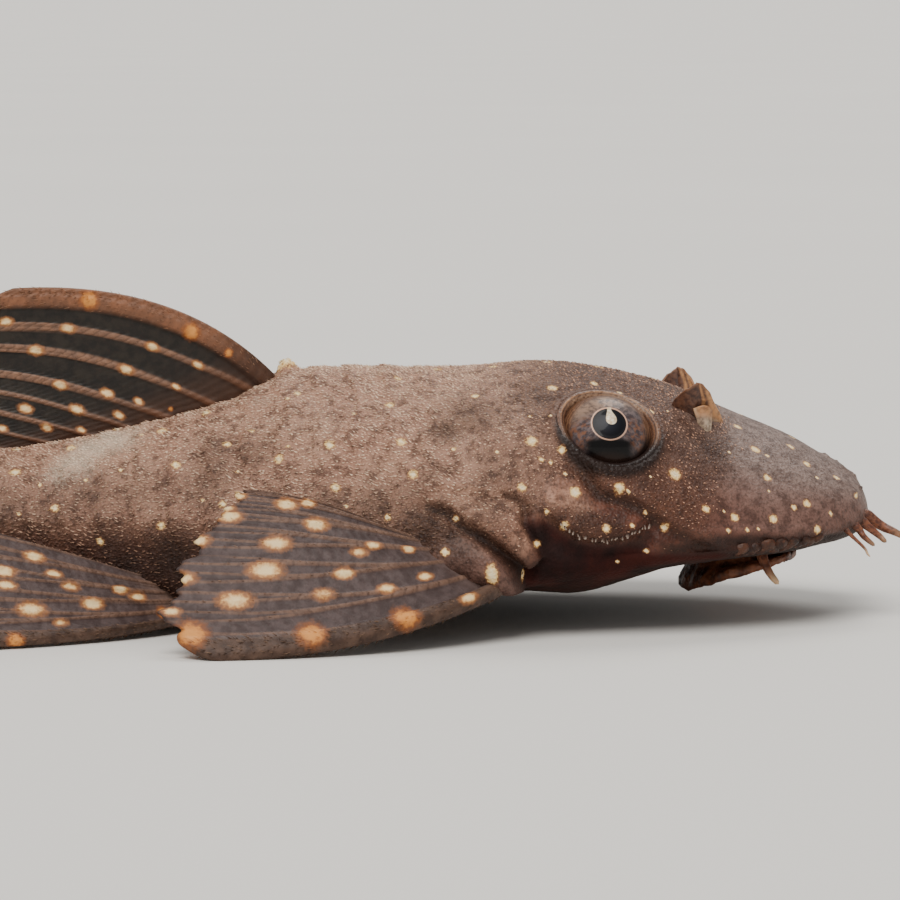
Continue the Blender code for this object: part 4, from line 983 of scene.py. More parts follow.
def eye_recipe():
    f = Finish("eye_finish", Roughness=0.38, Metallic=0.1, Coat_Weight=0.16, Coat_Roughness=0.05,
               Specular_IOR_Level=0.12)
    x, y = f.stored("eye_ahead"), f.plus(f.stored("eye_up"), PUPIL_DROP)
    r = f.math("SQRT", f.plus(f.times(x, x), f.times(y, y)))
    turn = f.math("ARCTAN2", y, x)
    streak_at = f.node("ShaderNodeCombineXYZ", {"X": f.times(turn, 2.2), "Y": r}).outputs[0]
    streak = f.node("ShaderNodeTexNoise", {"Vector": streak_at, "Scale": 2.6, "Detail": 5.0,
                                           "Roughness": 0.6}).outputs["Fac"]
    fleck = f.noise(3.2, 4)
    iris = f.mix(f.steps(streak, 0.38, 0.66), tint(62, 54, 57), tint(108, 95, 95))
    level = f.math("ABSOLUTE", f.plus(y, 0.45))
    sides = f.times(f.steps(f.math("ABSOLUTE", x), 0.8, 1.4), f.steps(level, 1.3, 0.4))
    iris = f.mix(f.times(sides, f.steps(fleck, 0.42, 0.66, 0.0, 0.72)), iris, tint(136, 88, 60))
    lit = f.times(f.steps(f.math("SUBTRACT", y, f.times(x, 0.25)), 0.35, 1.6),
                  f.steps(f.plus(streak, f.times(x, -0.04)), 0.36, 0.62, 0.2, 0.8))
    iris = f.mix(lit, iris, tint(158, 128, 106))
    under = f.times(f.steps(y, -0.75, -1.1), f.steps(f.math("ABSOLUTE", x), 1.8, 1.0))
    iris = f.mix(under, iris, tint(13, 11, 12))
    # Painted shade: the lowest part of the ball darker, as the socket shades it.
    iris = f.mix(f.steps(y, -1.5, -2.0), iris, tint(38, 23, 17))
    lines = f.math("SINE", f.plus(f.times(r, 40.0), f.times(fleck, 14.0)))
    outer = f.mix(f.steps(lines, -0.6, 0.9), tint(84, 56, 41), tint(124, 88, 63))
    # Painted shade: the outer ring darker towards the bottom.
    outer = f.mix(f.steps(y, 0.6, -1.0), outer, tint(34, 20, 15))
    iris = f.mix(f.steps(r, 2.00, 2.35), iris, outer)
    ring = f.steps(f.math("ABSOLUTE", f.math("SUBTRACT", r, PUPIL_RADIUS + 0.03)), 0.058, 0.024)
    iris = f.mix(f.times(ring, f.steps(y, -1.3, 0.2, 0.66, 0.95)), iris, tint(212, 168, 142))
    pupil = f.steps(r, PUPIL_RADIUS + 0.01, PUPIL_RADIUS - 0.03)
    colour = f.mix(pupil, iris, f.mix(f.steps(r, 0.2, 0.95), tint(27, 28, 37), tint(12, 12, 17)))
    drop_x, drop_y = f.math("SUBTRACT", x, 0.12), f.math("SUBTRACT", y, 0.20)
    drop = f.math("SQRT", f.plus(f.times(drop_x, drop_x), f.times(drop_y, drop_y)))
    drop = f.steps(drop, 0.34, 0.28)
    neck_wide = f.steps(y, 0.25, 0.98, 0.31, 0.11)
    off_neck = f.math("ABSOLUTE", f.math("SUBTRACT", x, f.steps(y, 0.2, 1.0, 0.12, 0.03)))
    neck = f.steps(f.math("SUBTRACT", off_neck, neck_wide), 0.03, -0.03)
    neck = f.times(neck, f.steps(y, 0.15, 0.25))
    lobe = f.times(f.math("MAXIMUM", drop, neck), f.steps(r, PUPIL_RADIUS + 0.10, PUPIL_RADIUS + 0.02))
    cream = f.mix(f.steps(f.noise(6.0, 3), 0.35, 0.65), tint(212, 184, 146), tint(246, 234, 210))
    colour = f.mix(lobe, colour, cream)
    normal = f.bump(f.times(streak, f.math("SUBTRACT", 1.0, pupil)), 0.05, 0.5)
    return f.done(Base_Color=colour, Normal=normal)


eye_finish = eye_recipe()
print("gaze rises by degrees:", round(math.degrees(GAZE_RISE)))

# %% [markdown]
# The ball itself is a sphere whose poles lie on the line of sight, so that its
# rings run round the pupil. The pupil's edge and the lobe are slightly raised
# from it, as a thin fold of the iris is.

# %% Eyeballs
def build_eye(name, side):
    centre, out, _, _ = body_frame(EYE_S, EYE_ANGLE, side)
    middle = centre - out * EYE_SINK
    gaze, ahead, up = eye_axes(side)
    bm = bmesh.new()
    bmesh.ops.create_uvsphere(bm, u_segments=96, v_segments=64, radius=EYE_RADIUS)
    turn = Vector((0, 0, 1)).rotation_difference(Vector(gaze)).to_matrix()
    bmesh.ops.rotate(bm, verts=bm.verts, matrix=turn)
    mesh = bpy.data.meshes.new(name)
    bm.to_mesh(mesh)
    bm.free()
    away = points_of(mesh)
    x, y = away @ ahead, away @ up + PUPIL_DROP
    r = np.where(away @ gaze > 0, np.hypot(x, y), 9)
    lift = 0.03 * bell(r - PUPIL_RADIUS - 0.06, 0.07)
    lift -= 0.05 * (1 - ramp_between(r, PUPIL_RADIUS - 0.1, PUPIL_RADIUS))
    lift += 0.06 * np.exp(-(((x - 0.12) / 0.3) ** 2) - ((y - 0.35) / 0.4) ** 2)
    at = place(middle + unit(away) * (EYE_RADIUS + lift)[:, None])
    mesh.vertices.foreach_set("co", at.astype(np.float32).ravel())
    mesh.shade_smooth()
    paint_points(mesh, eye_ahead=x, eye_up=y - PUPIL_DROP)
    flip = bmesh.new()
    flip.from_mesh(mesh)
    bmesh.ops.recalc_face_normals(flip, faces=flip.faces)
    flip.to_mesh(mesh)
    flip.free()
    new_object(name, mesh, eye_finish, [name])


for word, side in SIDES:
    build_eye("eye_" + word, side)
print("eyes are", 2 * EYE_RADIUS, "mm wide")

# %% [markdown]
# A soft rim of skin closes the gap between the ball and the head. It is a ring
# whose inner edge lies on the ball and whose outer edge runs under the skin.
# Its section is drawn once and carried round, and at each place it follows the
# head's own curve, found by walking along the surface to the wanted distance.

# %% Rims of the orbits
RIM_SECTION = [(2.42, -0.30), (2.56, 0.08), (2.66, 0.24), (2.78, 0.36), (2.90, 0.41), (3.02, 0.38),
               (3.18, 0.26), (3.36, 0.02), (3.24, -0.45), (2.80, -0.50)]
RIM_TURNS = 120
RIM_STEPS = 44


def walk_on_body(s, angle, side, back_by, down_by):
    """Points and normals of the bare body at distances back and down from a place, in its tangent plane."""
    centre, _, back, down = body_frame(s, angle, side)
    here_s, here_a = np.full(len(back_by), float(s)), np.full(len(back_by), float(angle))
    for _ in range(6):
        here = smooth_body(here_s, side * here_a)
        at = here - centre
        wide = np.linalg.norm(smooth_body(here_s, side * (here_a + 0.01)) - here, axis=1)
        here_s = np.clip(here_s + (back_by - at @ back) / max(back[0], 0.3), 0.05, 74)
        here_a = here_a + (down_by - at @ down) / (wide / 0.01)
    return smooth_body(here_s, side * here_a), body_normal(here_s, side * here_a)


def section_at(section, share):
    """Points round a closed section of (reach, height) corners, smoothed."""
    corners = np.array(section, float)
    at = share * len(corners)
    i = np.floor(at).astype(int)
    f = (at - i)[:, None]
    a, b, c, d = (corners[(i + k) % len(corners)] for k in (-1, 0, 1, 2))
    return 0.5 * (2 * b + (c - a) * f + (2 * a - 5 * b + 4 * c - d) * f**2 + (3 * b - a - 3 * c + d) * f**3)


def rim_recipe():
    f = Finish("orbit_finish", Roughness=0.4, Specular_IOR_Level=0.45)
    grain, reach, up = f.noise(5.0, 4), f.stored("reach"), f.stored("eye_up")
    lines = f.math("SINE", f.plus(f.times(reach, 42.0), f.times(grain, 4.0)))
    colour = f.mix(f.steps(lines, -0.5, 0.8), tint(78, 50, 36), tint(118, 82, 58))
    # The crest and the arc are paler towards the top: partly the rim's own cream, partly painted light.
    crest = f.steps(f.math("ABSOLUTE", f.math("SUBTRACT", reach, 2.86)), 0.09, 0.02)
    crest = f.times(crest, f.steps(f.noise(1.6, 3), 0.36, 0.60, 0.05, 0.75))
    colour = f.mix(f.times(crest, f.steps(up, 0.4, 2.2, 0.25, 1.0)), colour, tint(186, 138, 100))
    arc = f.times(f.steps(up, 1.2, 2.4), f.steps(reach, 2.85, 2.7))
    colour = f.mix(f.times(arc, f.steps(grain, 0.35, 0.55, 0.1, 0.6)), colour, tint(184, 150, 122))
    outside = f.steps(reach, 2.88, 3.05)
    colour = f.mix(outside, colour, f.mix(f.steps(grain, 0.35, 0.65), tint(64, 41, 32), tint(120, 88, 72)))
    # Painted shade: the rim's lower part dark, under the eye.
    colour = f.mix(f.steps(up, 0.2, -1.3), colour, tint(32, 19, 15))
    return f.done(Base_Color=colour, Normal=f.bump(f.cells(6.0), 0.05, 0.6))


def build_rim(name, side):
    def shape(u, v):
        at = section_at(RIM_SECTION, v)
        turn = 2 * math.pi * u
        bare, out = walk_on_body(EYE_S, EYE_ANGLE, side, at[:, 0] * np.cos(turn), at[:, 0] * np.sin(turn))
        return place(bare + out * (at[:, 1] + 0.12)[:, None])

    mesh = bent_grid(name, RIM_TURNS, RIM_STEPS, shape)
    centre, out, _, _ = body_frame(EYE_S, EYE_ANGLE, side)
    middle = centre - out * EYE_SINK
    up = eye_axes(side)[2]
    p = points_of(mesh) / MM
    p[:, 0] = ORIGIN_S - p[:, 0]
    paint_points(mesh, eye_up=(p - middle) @ up, reach=section_at(RIM_SECTION, kept(mesh, "v"))[:, 0])
    new_object(name, mesh, orbit_finish)


orbit_finish = rim_recipe()
for word, side in SIDES:
    build_rim("orbit_" + word, side)
print("rims reach", max(reach for reach, _ in RIM_SECTION), "mm from the eye's middle")

# %% [markdown]
# Behind each nostril stands a folded flap of skin, like a small leaf with an
# orange crease, and at its foot is the whitish tongue of the front nostril.
# The flap is bent from a grid and given its wall with the solidify operator.

# %% Nostril flaps
FLAP_HALF_LENGTH = 1.3
FLAP_HALF_WIDTH = 0.9
FLAP_HEIGHT = 2.35
FLAP_TURN = (-2, 208)
FLAP_WALL = 0.15
FLAP_LEAN_BACK = 0.42
FLAP_REAR_REACH = 1.20
FLAP_FRONT_REACH = 1.36
FLAP_EDGE = [(0.0, 0.0), (0.08, 0.20), (0.20, 0.48), (0.32, 0.74), (0.42, 0.92), (0.50, 1.0), (0.56, 0.99),
             (0.63, 0.88), (0.70, 0.70), (0.77, 0.50), (0.84, 0.28), (0.92, 0.08), (1.0, 0.0)]
FLAP_CREASE = 0.53
TONGUE_HEIGHT = 1.35
TONGUE_WALL = 0.12


def flap_recipe():
    f = Finish("nostril_finish", Roughness=0.45, Specular_IOR_Level=0.5, Subsurface_Weight=0.15)
    f.glow_through(0.6, 0.3, 0.2)
    grain = f.noise(3.5, 4)
    colour = f.mix(f.steps(grain, 0.35, 0.65), tint(62, 36, 27), tint(104, 68, 50))
    crease = f.times(f.steps(f.stored("crease"), 0.15, 1.0), f.steps(grain, 0.30, 0.6, 0.45, 0.95))
    colour = f.mix(crease, colour, tint(200, 144, 94))
    colour = f.mix(f.steps(f.stored("edge"), 0.90, 1.0, 0.0, 0.5), colour, tint(150, 102, 70))
    colour = f.mix(f.times(f.stored("pale"), f.steps(grain, 0.30, 0.60, 0.30, 1.0)), colour,
                   tint(214, 190, 162))
    return f.done(Base_Color=colour, Normal=f.bump(grain, 0.06, 0.6))


def with_wall(mesh, thickness):
    """The same sheet, given a wall of a thickness in metres."""
    bm = bmesh.new()
    bm.from_mesh(mesh)
    bmesh.ops.solidify(bm, geom=bm.faces, thickness=thickness)
    bmesh.ops.recalc_face_normals(bm, faces=bm.faces)
    bm.to_mesh(mesh)
    bm.free()
    mesh.shade_smooth()
    return mesh


def build_flap(name, side):
    centre, out, back, down = body_frame(NOSTRIL_S + 0.15, NOSTRIL_ANGLE, side)
    rise = unit(out + back * FLAP_LEAN_BACK)

    def shape(u, v):
        turn = np.radians(FLAP_TURN[0] + (FLAP_TURN[1] - FLAP_TURN[0]) * u)
        ragged = 1 + 0.015 * np.sin(31 * u) + 0.01 * np.sin(67 * u + 1)
        height = FLAP_HEIGHT * along_curve(FLAP_EDGE, u) * ragged
        pinch = 1 - 0.20 * bell(u - FLAP_CREASE, 0.05) * v
        curl = 0.20 * np.sin(math.pi * np.minimum(v, 1)) * bell(u - 0.74, 0.12)
        flare = (1 + curl - 0.16 * v**2 + 0.02 * v**2 * np.sin(24 * u)) * pinch
        longer = np.interp(np.cos(turn), [-1, -0.2, 0, 1], [FLAP_FRONT_REACH, 1.0, 1.0, FLAP_REAR_REACH])
        spoke = (back * (np.cos(turn) * longer * FLAP_HALF_LENGTH * flare)[:, None]
                 + down * (np.sin(turn) * FLAP_HALF_WIDTH * flare)[:, None])
        return place(centre + spoke - out[None] * 0.5 + rise * ((height + 0.5) * v)[:, None])

    mesh = with_wall(bent_grid(name, 64, 26, shape), FLAP_WALL * MM)
    u, v = kept(mesh, "u"), kept(mesh, "v")
    along_crease = u - FLAP_CREASE - 0.07 * (1 - v) - 0.010 * np.sin(11 * v)
    crease = 0.9 * bell(along_crease, 0.024) * ramp_between(v, 0.05, 0.4)
    crease = np.maximum(crease, 0.90 * ramp_between(along_crease, 0.0, 0.08) * ramp_between(v, 0.1, 0.5))
    pale = ramp_between(u, 0.40, 0.52) * (1 - ramp_between(u, 0.72, 0.82)) * (1 - ramp_between(v, 0.20, 0.50))
    paint_points(mesh, crease=crease, edge=v, pale=0.9 * pale)
    new_object(name, mesh, nostril_finish, [name])


def build_tongue(name, side):
    """The pale lip of the front nostril: a small sheet that stands at the flap's foot, open at the top."""
    foot, out, back, down = body_frame(NOSTRIL_S - 0.05, NOSTRIL_ANGLE + 0.05 * math.pi, side)
    tall = unit(out + np.array([0.0, 0.0, 1.0]))

    def shape(u, v):
        across = np.interp(v, [0, 1], [-0.55, -0.48])
        across = across + (1 - u) * np.interp(v, [0, 0.3, 1], [0.55, 0.85, 1.20])
        bowl = 0.22 * np.sin(math.pi * u) - 0.56 * v**1.5 + 0.16 * (1 - v) * u
        height = TONGUE_HEIGHT * v * (0.62 + 0.22 * u + 0.28 * np.sin(math.pi * u)) - 0.15
        return place(foot + back * across[:, None] + down * bowl[:, None] + tall * height[:, None])

    mesh = with_wall(bent_grid(name, 28, 24, shape), TONGUE_WALL * MM)
    u, v = kept(mesh, "u"), kept(mesh, "v")
    pale = (0.45 + 0.55 * u) * (1 - 0.95 * ramp_between(v, 0.35, 0.85) * ramp_between(u, 0.0, 0.25))
    paint_points(mesh, crease=0.75 * ramp_between(v, 0.4, 0.8), edge=np.zeros_like(u), pale=pale)
    new_object(name, mesh, nostril_finish)


nostril_finish = flap_recipe()
for word, side in SIDES:
    build_flap("nostril_flap_" + word, side)
    build_tongue("nostril_tongue_" + word, side)
print("flaps stand", FLAP_HEIGHT, "mm tall")

# %% [markdown]
# Soft tentacles hang from the edge of the snout, which is what the fish is
# named for. Each is a tapered tube on a short curve, given by its place, length,
# droop, spread to the side and thickness. They go into one piece, and the
# barbel at each corner of the mouth is made the same way.

# %% Tentacles and barbels
TENTACLES = [(0.4, 0.48, 2.3, 0.45, 0.05, 0.30), (0.7, 0.54, 1.9, 0.65, 0.10, 0.28),
             (1.3, 0.54, 1.3, 0.80, 0.20, 0.22), (2.0, 0.54, 2.1, 0.80, 0.25, 0.13)]
TENTACLE_TAPER = np.array([1.7, 1.25, 0.95, 0.8, 0.66, 0.5])
BARBEL = np.array([(7.3, 5.6, 5.2), (7.2, 6.9, 3.4), (6.2, 7.1, 2.5)])


def arc_between(start, bend, end, f):
    """Points at shares f of a curve from start to end, drawn towards bend."""
    f = np.asarray(f)[:, None]
    return start * (1 - f) ** 2 + bend * 2 * f * (1 - f) + end * f**2


def tube(name, path, radii, sides=14, steps=26):
    """A closed tapered tube along a path in (s, y, z), with a rounded tip."""
    reach = np.concatenate([[0], np.cumsum(np.linalg.norm(np.diff(path, axis=0), axis=1))])

    def shape(u, v):
        at = v * reach[-1]
        centre = np.stack([np.interp(at, reach, path[:, k]) for k in range(3)], 1)
        after, before = np.minimum(at + 0.05, reach[-1]), np.maximum(at - 0.05, 0)
        ahead = unit(np.stack([np.interp(after, reach, path[:, k]) - np.interp(before, reach, path[:, k])
                               for k in range(3)], 1))
        aside = unit(np.cross(ahead, np.array([0.31, 0.2, 0.93])))
        third = np.cross(ahead, aside)
        rounded = np.sqrt(np.clip(1 - ((np.clip(v, 0.9, 1) - 0.9) / 0.1) ** 2, 0, 1)) * (v > 0)
        radius = np.interp(v, np.linspace(0, 1, len(radii)), radii) * rounded
        turn = 2 * math.pi * u
        return place(centre + aside * (radius * np.cos(turn))[:, None]
                     + third * (radius * np.sin(turn))[:, None])

    return bent_grid(name, sides, steps, shape)


def joined(name, meshes):
    """One mesh from several, keeping their painted points."""
    bm = bmesh.new()
    for mesh in meshes:
        bm.from_mesh(mesh)
    made = bpy.data.meshes.new(name)
    bm.to_mesh(made)
    bm.free()
    for mesh in meshes:
        bpy.data.meshes.remove(mesh)
    made.shade_smooth()
    return made


def tentacle_recipe():
    f = Finish("tentacle_finish", Roughness=0.45, Specular_IOR_Level=0.4, Subsurface_Weight=0.4)
    f.glow_through(0.8, 0.4, 0.2)
    grain, tip = f.noise(4.0, 3), f.stored("v")
    colour = f.mix(f.steps(grain, 0.35, 0.65), tint(84, 47, 34), tint(136, 84, 58))
    colour = f.mix(f.steps(tip, 0.35, 0.0, 0.0, 0.8), colour, tint(64, 34, 25))
    colour = f.mix(f.times(f.steps(tip, 0.62, 1.0), f.stored("clear_tip")), colour, tint(206, 172, 136))
    return f.done(Base_Color=colour, Normal=f.bump(grain, 0.04, 0.5))


def build_tentacles():
    tubes = []
    steps = np.linspace(0, 1, 24)
    rng = np.random.RandomState(5)
    for _, side in SIDES:
        for s, share, length, droop, spread, thick in TENTACLES:
            root, out, _, _ = body_frame(s, share * math.pi, side)
            hang = unit(np.array([spread - 1.0, side * (0.35 + 0.5 * spread), -droop]))
            bend = root + (out * 0.25 + np.array([-0.1, 0, -0.3])) * length
            tip = bend + hang * (0.65 * length)
            path = np.concatenate([[root - out * 0.5], arc_between(root, bend, tip, steps)])
            outward = np.linspace(0, 1, len(path))
            wave = outward * np.sin(np.linspace(0, 6.5, len(path)) + rng.uniform(0, 6))
            path[:, 0] += 0.16 * length * wave + 0.2 * length * rng.uniform(-1, 1) * outward
            path[:, 2] += 0.10 * length * wave
            radii = thick * rng.uniform(0.85, 1.15) * TENTACLE_TAPER
            tubes.append(tube("tentacle", path, radii))
            paint_points(tubes[-1], clear_tip=np.full(len(tubes[-1].vertices), 1.0 if thick < 0.2 else 0.35))
    new_object("tentacles", joined("tentacles", tubes), tentacle_finish)


def build_barbel(name, side):
    bent = BARBEL * np.array([1, side, 1])
    path = arc_between(bent[0], bent[1], bent[2], np.linspace(0, 1, 24))
    mesh = tube(name, path, np.array([0.40, 0.35, 0.29, 0.23, 0.17]))
    paint_points(mesh, clear_tip=np.ones(len(mesh.vertices)))
    new_object(name, mesh, tentacle_finish, [name])


tentacle_finish = tentacle_recipe()
build_tentacles()
for word, side in SIDES:
    build_barbel("barbel_" + word, side)
print("tentacles:", 2 * len(TENTACLES))

# %% [markdown]
# A row of blunt pale teeth fringes most of the lower edge of the cheek flap.
# They sit on it as on a comb, and point down and slightly back.

# %% Teeth of the cheek flaps
CHEEK_TEETH = 26
TEETH_END_S = 19.4
TOOTH_TAPER = np.array([0.075, 0.075, 0.07, 0.06, 0.04])


def spine_recipe():
    f = Finish("spine_finish", Roughness=0.4, Specular_IOR_Level=0.5)
    tip = f.stored("v")
    colour = f.mix(f.steps(tip, 0.25, 0.75), tint(70, 48, 39), tint(116, 96, 84))
    colour = f.mix(f.steps(tip, 0.60, 1.0), colour, tint(162, 148, 136))
    return f.done(Base_Color=colour, Normal=f.bump(f.noise(8.0, 2), 0.02, 0.4))


def build_cheek_teeth():
    tubes = []
    rng = np.random.RandomState(9)
    at = np.array(sorted(FRINGE))
    first_s = at[0, 0] + 0.1
    for _, side in SIDES:
        for k in range(CHEEK_TEETH):
            s = first_s + (TEETH_END_S - first_s) * (k + rng.uniform(-0.5, 0.5)) / (CHEEK_TEETH - 1)
            root, out, back, down = body_frame(s, np.interp(s, at[:, 0], at[:, 1]) * math.pi, side)
            root = root + out * 0.18 + down * rng.uniform(-0.10, 0.05)
            lie = unit(back * rng.uniform(-0.2, 0.7) + down + out * rng.uniform(0.1, 0.6))
            length = rng.uniform(0.10, 0.24)
            path = arc_between(root - lie * 0.15, root + out * 0.04 + lie * 0.4 * length, root + lie * length,
                               np.linspace(0, 1, 8))
            tubes.append(tube("tooth", path, TOOTH_TAPER * rng.uniform(0.7, 1.2), 8, 8))
    new_object("cheek_teeth", joined("cheek_teeth", tubes), spine_recipe())


build_cheek_teeth()
print("cheek teeth:", 2 * CHEEK_TEETH)

# %% [markdown]
# The mouth is a sucker: a disc of two fleshy lips under the snout, lowest at
# the rear, with rows of soft papillae and a dark slot between the jaws. It
# shows from the side as a dark red-brown lobe and fully from below.

# %% Sucker mouth
MOUTH_S = 7.8
MOUTH_HALF_LENGTH = 3.5
MOUTH_HALF_WIDTH = 5.2
LIP_FRONT_Z = 3.3
LIP_REAR_Z = 1.25
LIP_UNDER = 0.72
PAPILLA_RINGS = 7.5


def body_underside(s, y):
    """Height of the head's underside at s and y."""
    half = along_curve(HALF_WIDTH, s) * blunt(s, SNOUT_BLUNT_PLAN)
    edge = along_curve(EDGE_Z, s)
    deep = (edge - along_curve(BOTTOM_Z, s)) * blunt(s, SNOUT_BLUNT_SIDE)
    lower = along_curve(LOWER_ROUNDNESS, s)
    return edge - deep * (1 - np.minimum(1, np.abs(y) / half) ** lower) ** (1 / lower)


def lip_shape(u, v):
    """The lips from the middle of their underside (v 0) over the rim to the middle of their top (v 1)."""
    turn = 2 * math.pi * u
    under = v < LIP_UNDER
    r = np.where(under, v / LIP_UNDER, (1 - v) / (1 - LIP_UNDER))
    wavy = 0.6 * np.sin(5 * turn + 0.7) + 0.5 * np.sin(11 * turn + 2.0) + 0.35 * np.sin(23 * turn)
    frill = 1 + 0.030 * wavy * r**5
    s = MOUTH_S + MOUTH_HALF_LENGTH * r * frill * np.cos(turn)
    y = MOUTH_HALF_WIDTH * r * frill * np.sin(turn)
    along = np.clip((np.cos(turn) * r + 1) / 2, 0, 1)
    low = LIP_FRONT_Z + (LIP_REAR_Z - LIP_FRONT_Z) * along**1.9 + 0.1 + 0.2 * np.cos(1.6 * math.pi * r)
    low = low + 0.12 * wavy * r**5
    slot = np.exp(-(((s - MOUTH_S + 0.5) / 0.75) ** 2) - (y / 2.9) ** 4)
    papillae = np.cos(2 * math.pi * r * PAPILLA_RINGS) * np.cos(turn * np.maximum(6, np.round(30 * r)))
    papillae *= (1 - slot) * ramp_between(r, 0.1, 0.3) * (1 - ramp_between(r, 0.9, 1.0))
    low = low + 1.0 * slot - 0.07 * papillae
    top = np.maximum(body_underside(s, y) + 0.25, low + 0.35)
    rim = low + 0.42 * r**3 * (r > 0.9)
    z = np.where(under, low, rim + (top - rim) * np.clip((1 - r) / 0.25, 0, 1))
    return place(np.stack([s, y, z], -1))


def lips_recipe():
    f = Finish("lips_finish", Roughness=0.5, Specular_IOR_Level=0.35, Subsurface_Weight=0.25)
    f.glow_through(0.8, 0.3, 0.2)
    mid, fine = f.noise(1.2, 4), f.noise(5.0, 3)
    colour = f.mix(f.steps(mid, 0.35, 0.65), tint(66, 36, 26), tint(128, 78, 52))
    colour = f.mix(f.steps(f.stored("v"), 0.10, 0.55, 0.55, 0.0), colour, tint(132, 90, 72))
    colour = f.mix(f.stored("slot"), colour, tint(22, 11, 9))
    colour = f.mix(f.steps(fine, 0.6, 0.75, 0.0, 0.35), colour, tint(142, 96, 70))
    return f.done(Base_Color=colour, Normal=f.bump(f.cells(3.2), 0.10, 0.7))


lips_mesh = bent_grid("lips", 180, 90, lip_shape)
lips_points = points_of(lips_mesh) / MM
slot_s = ORIGIN_S - lips_points[:, 0] - MOUTH_S + 0.5
slot_place = np.exp(-((slot_s / 0.6) ** 2) - (lips_points[:, 1] / 2.7) ** 4)
paint_points(lips_mesh, slot=slot_place * (kept(lips_mesh, "v") < 0.7))
lips_finish = lips_recipe()
new_object("lips", lips_mesh, lips_finish, ["mouth_disc"])
print("lips faces:", len(lips_mesh.polygons))

# %% [markdown]
# In front of the lips the edge of the disc is a thick and lumpy roll. The lumps
# are short round tubes of unlike sizes that sink into each other and the skin.

# %% Lumps of the front lip
LIP_LUMPS = 20
LUMPS_FROM_S = 3.9
LUMPS_TO_S = 8.9
LUMPS_SHARE = 0.562
LUMPS_ROW_STEP = 0.030
LUMP_PROFILE = np.array([0.9, 1.0, 1.0, 0.95, 0.8, 0.45])


def build_lip_lumps():
    lumps_made = []
    rng = np.random.RandomState(14)
    for _, side in SIDES:
        for k in range(LIP_LUMPS):
            s = LUMPS_FROM_S + (LUMPS_TO_S - LUMPS_FROM_S) * (k + rng.uniform(-0.35, 0.35)) / (LIP_LUMPS - 1)
            thick = rng.uniform(0.30, 0.58)
            root, out, _, _ = body_frame(s, (LUMPS_SHARE + LUMPS_ROW_STEP * (k % 3)) * math.pi, side)
            tip = root + (out * 0.35 + np.array([rng.uniform(-0.5, 0.5), 0, -0.9])) * rng.uniform(0.02, 0.10)
            path = arc_between(root - out * 0.4, root + out * 0.05, tip, np.linspace(0, 1, 16))
            lump = tube("lump", path, thick * LUMP_PROFILE, 14, 16)
            paint_points(lump, slot=np.full(len(lump.vertices), rng.uniform(0.58, 0.72)))
            lumps_made.append(lump)
    new_object("lip_lumps", joined("lip_lumps", lumps_made), lips_finish)


build_lip_lumps()
print("lumps:", 2 * LIP_LUMPS)

# %% [markdown]
# A fin is a thin web held by rays. The first ray of most is a stout spine; the
# others are soft, split in two towards the tip, and stand a little proud of
# the web on both faces. A ray is a curve of four control points, and the rays
# between the first and the last are mixtures of those two, which gives an even
# fan. A grid is rolled flat round the fan, one half for each face.

# %% Fans of rays
RAY_HIGH = 0.30
WEB_THICK = 0.15
NOTCH = 0.022
FAN_MERGE = 1e-6


def bezier(controls, f):
    """Points at shares f of cubic curves with four control points each."""
    a, b, c, d = (controls[:, k] for k in range(4))
    f = f[:, None]
    g = 1 - f
    return a * g**3 + b * 3 * g * g * f + c * 3 * g * f * f + d * f**3


def between_rays(first, last, share, bulge=0.0):
    """Control points part of the way from one ray's to another's; bulge lengthens the middle rays."""
    mixed = first[None] + (last - first)[None] * share[:, None, None]
    mixed[:, 3, 0] += bulge * np.sin(math.pi * np.clip(share, 0, 1))
    return mixed


def swayed(controls, amount, phase):
    controls[:, :, 1] += amount * np.array([0, 0.12, 0.45, 1.0])[None] * np.sin(phase)[:, None]
    return controls


def ray(*rows):
    return np.array(rows, float)


def fork_reach(f):
    """How far a ray's branches, and then their twigs, stand apart, in shares of the step between rays."""
    return 0.24 * ramp_between(f, 0.30, 0.85), 0.12 * ramp_between(f, 0.60, 0.98)


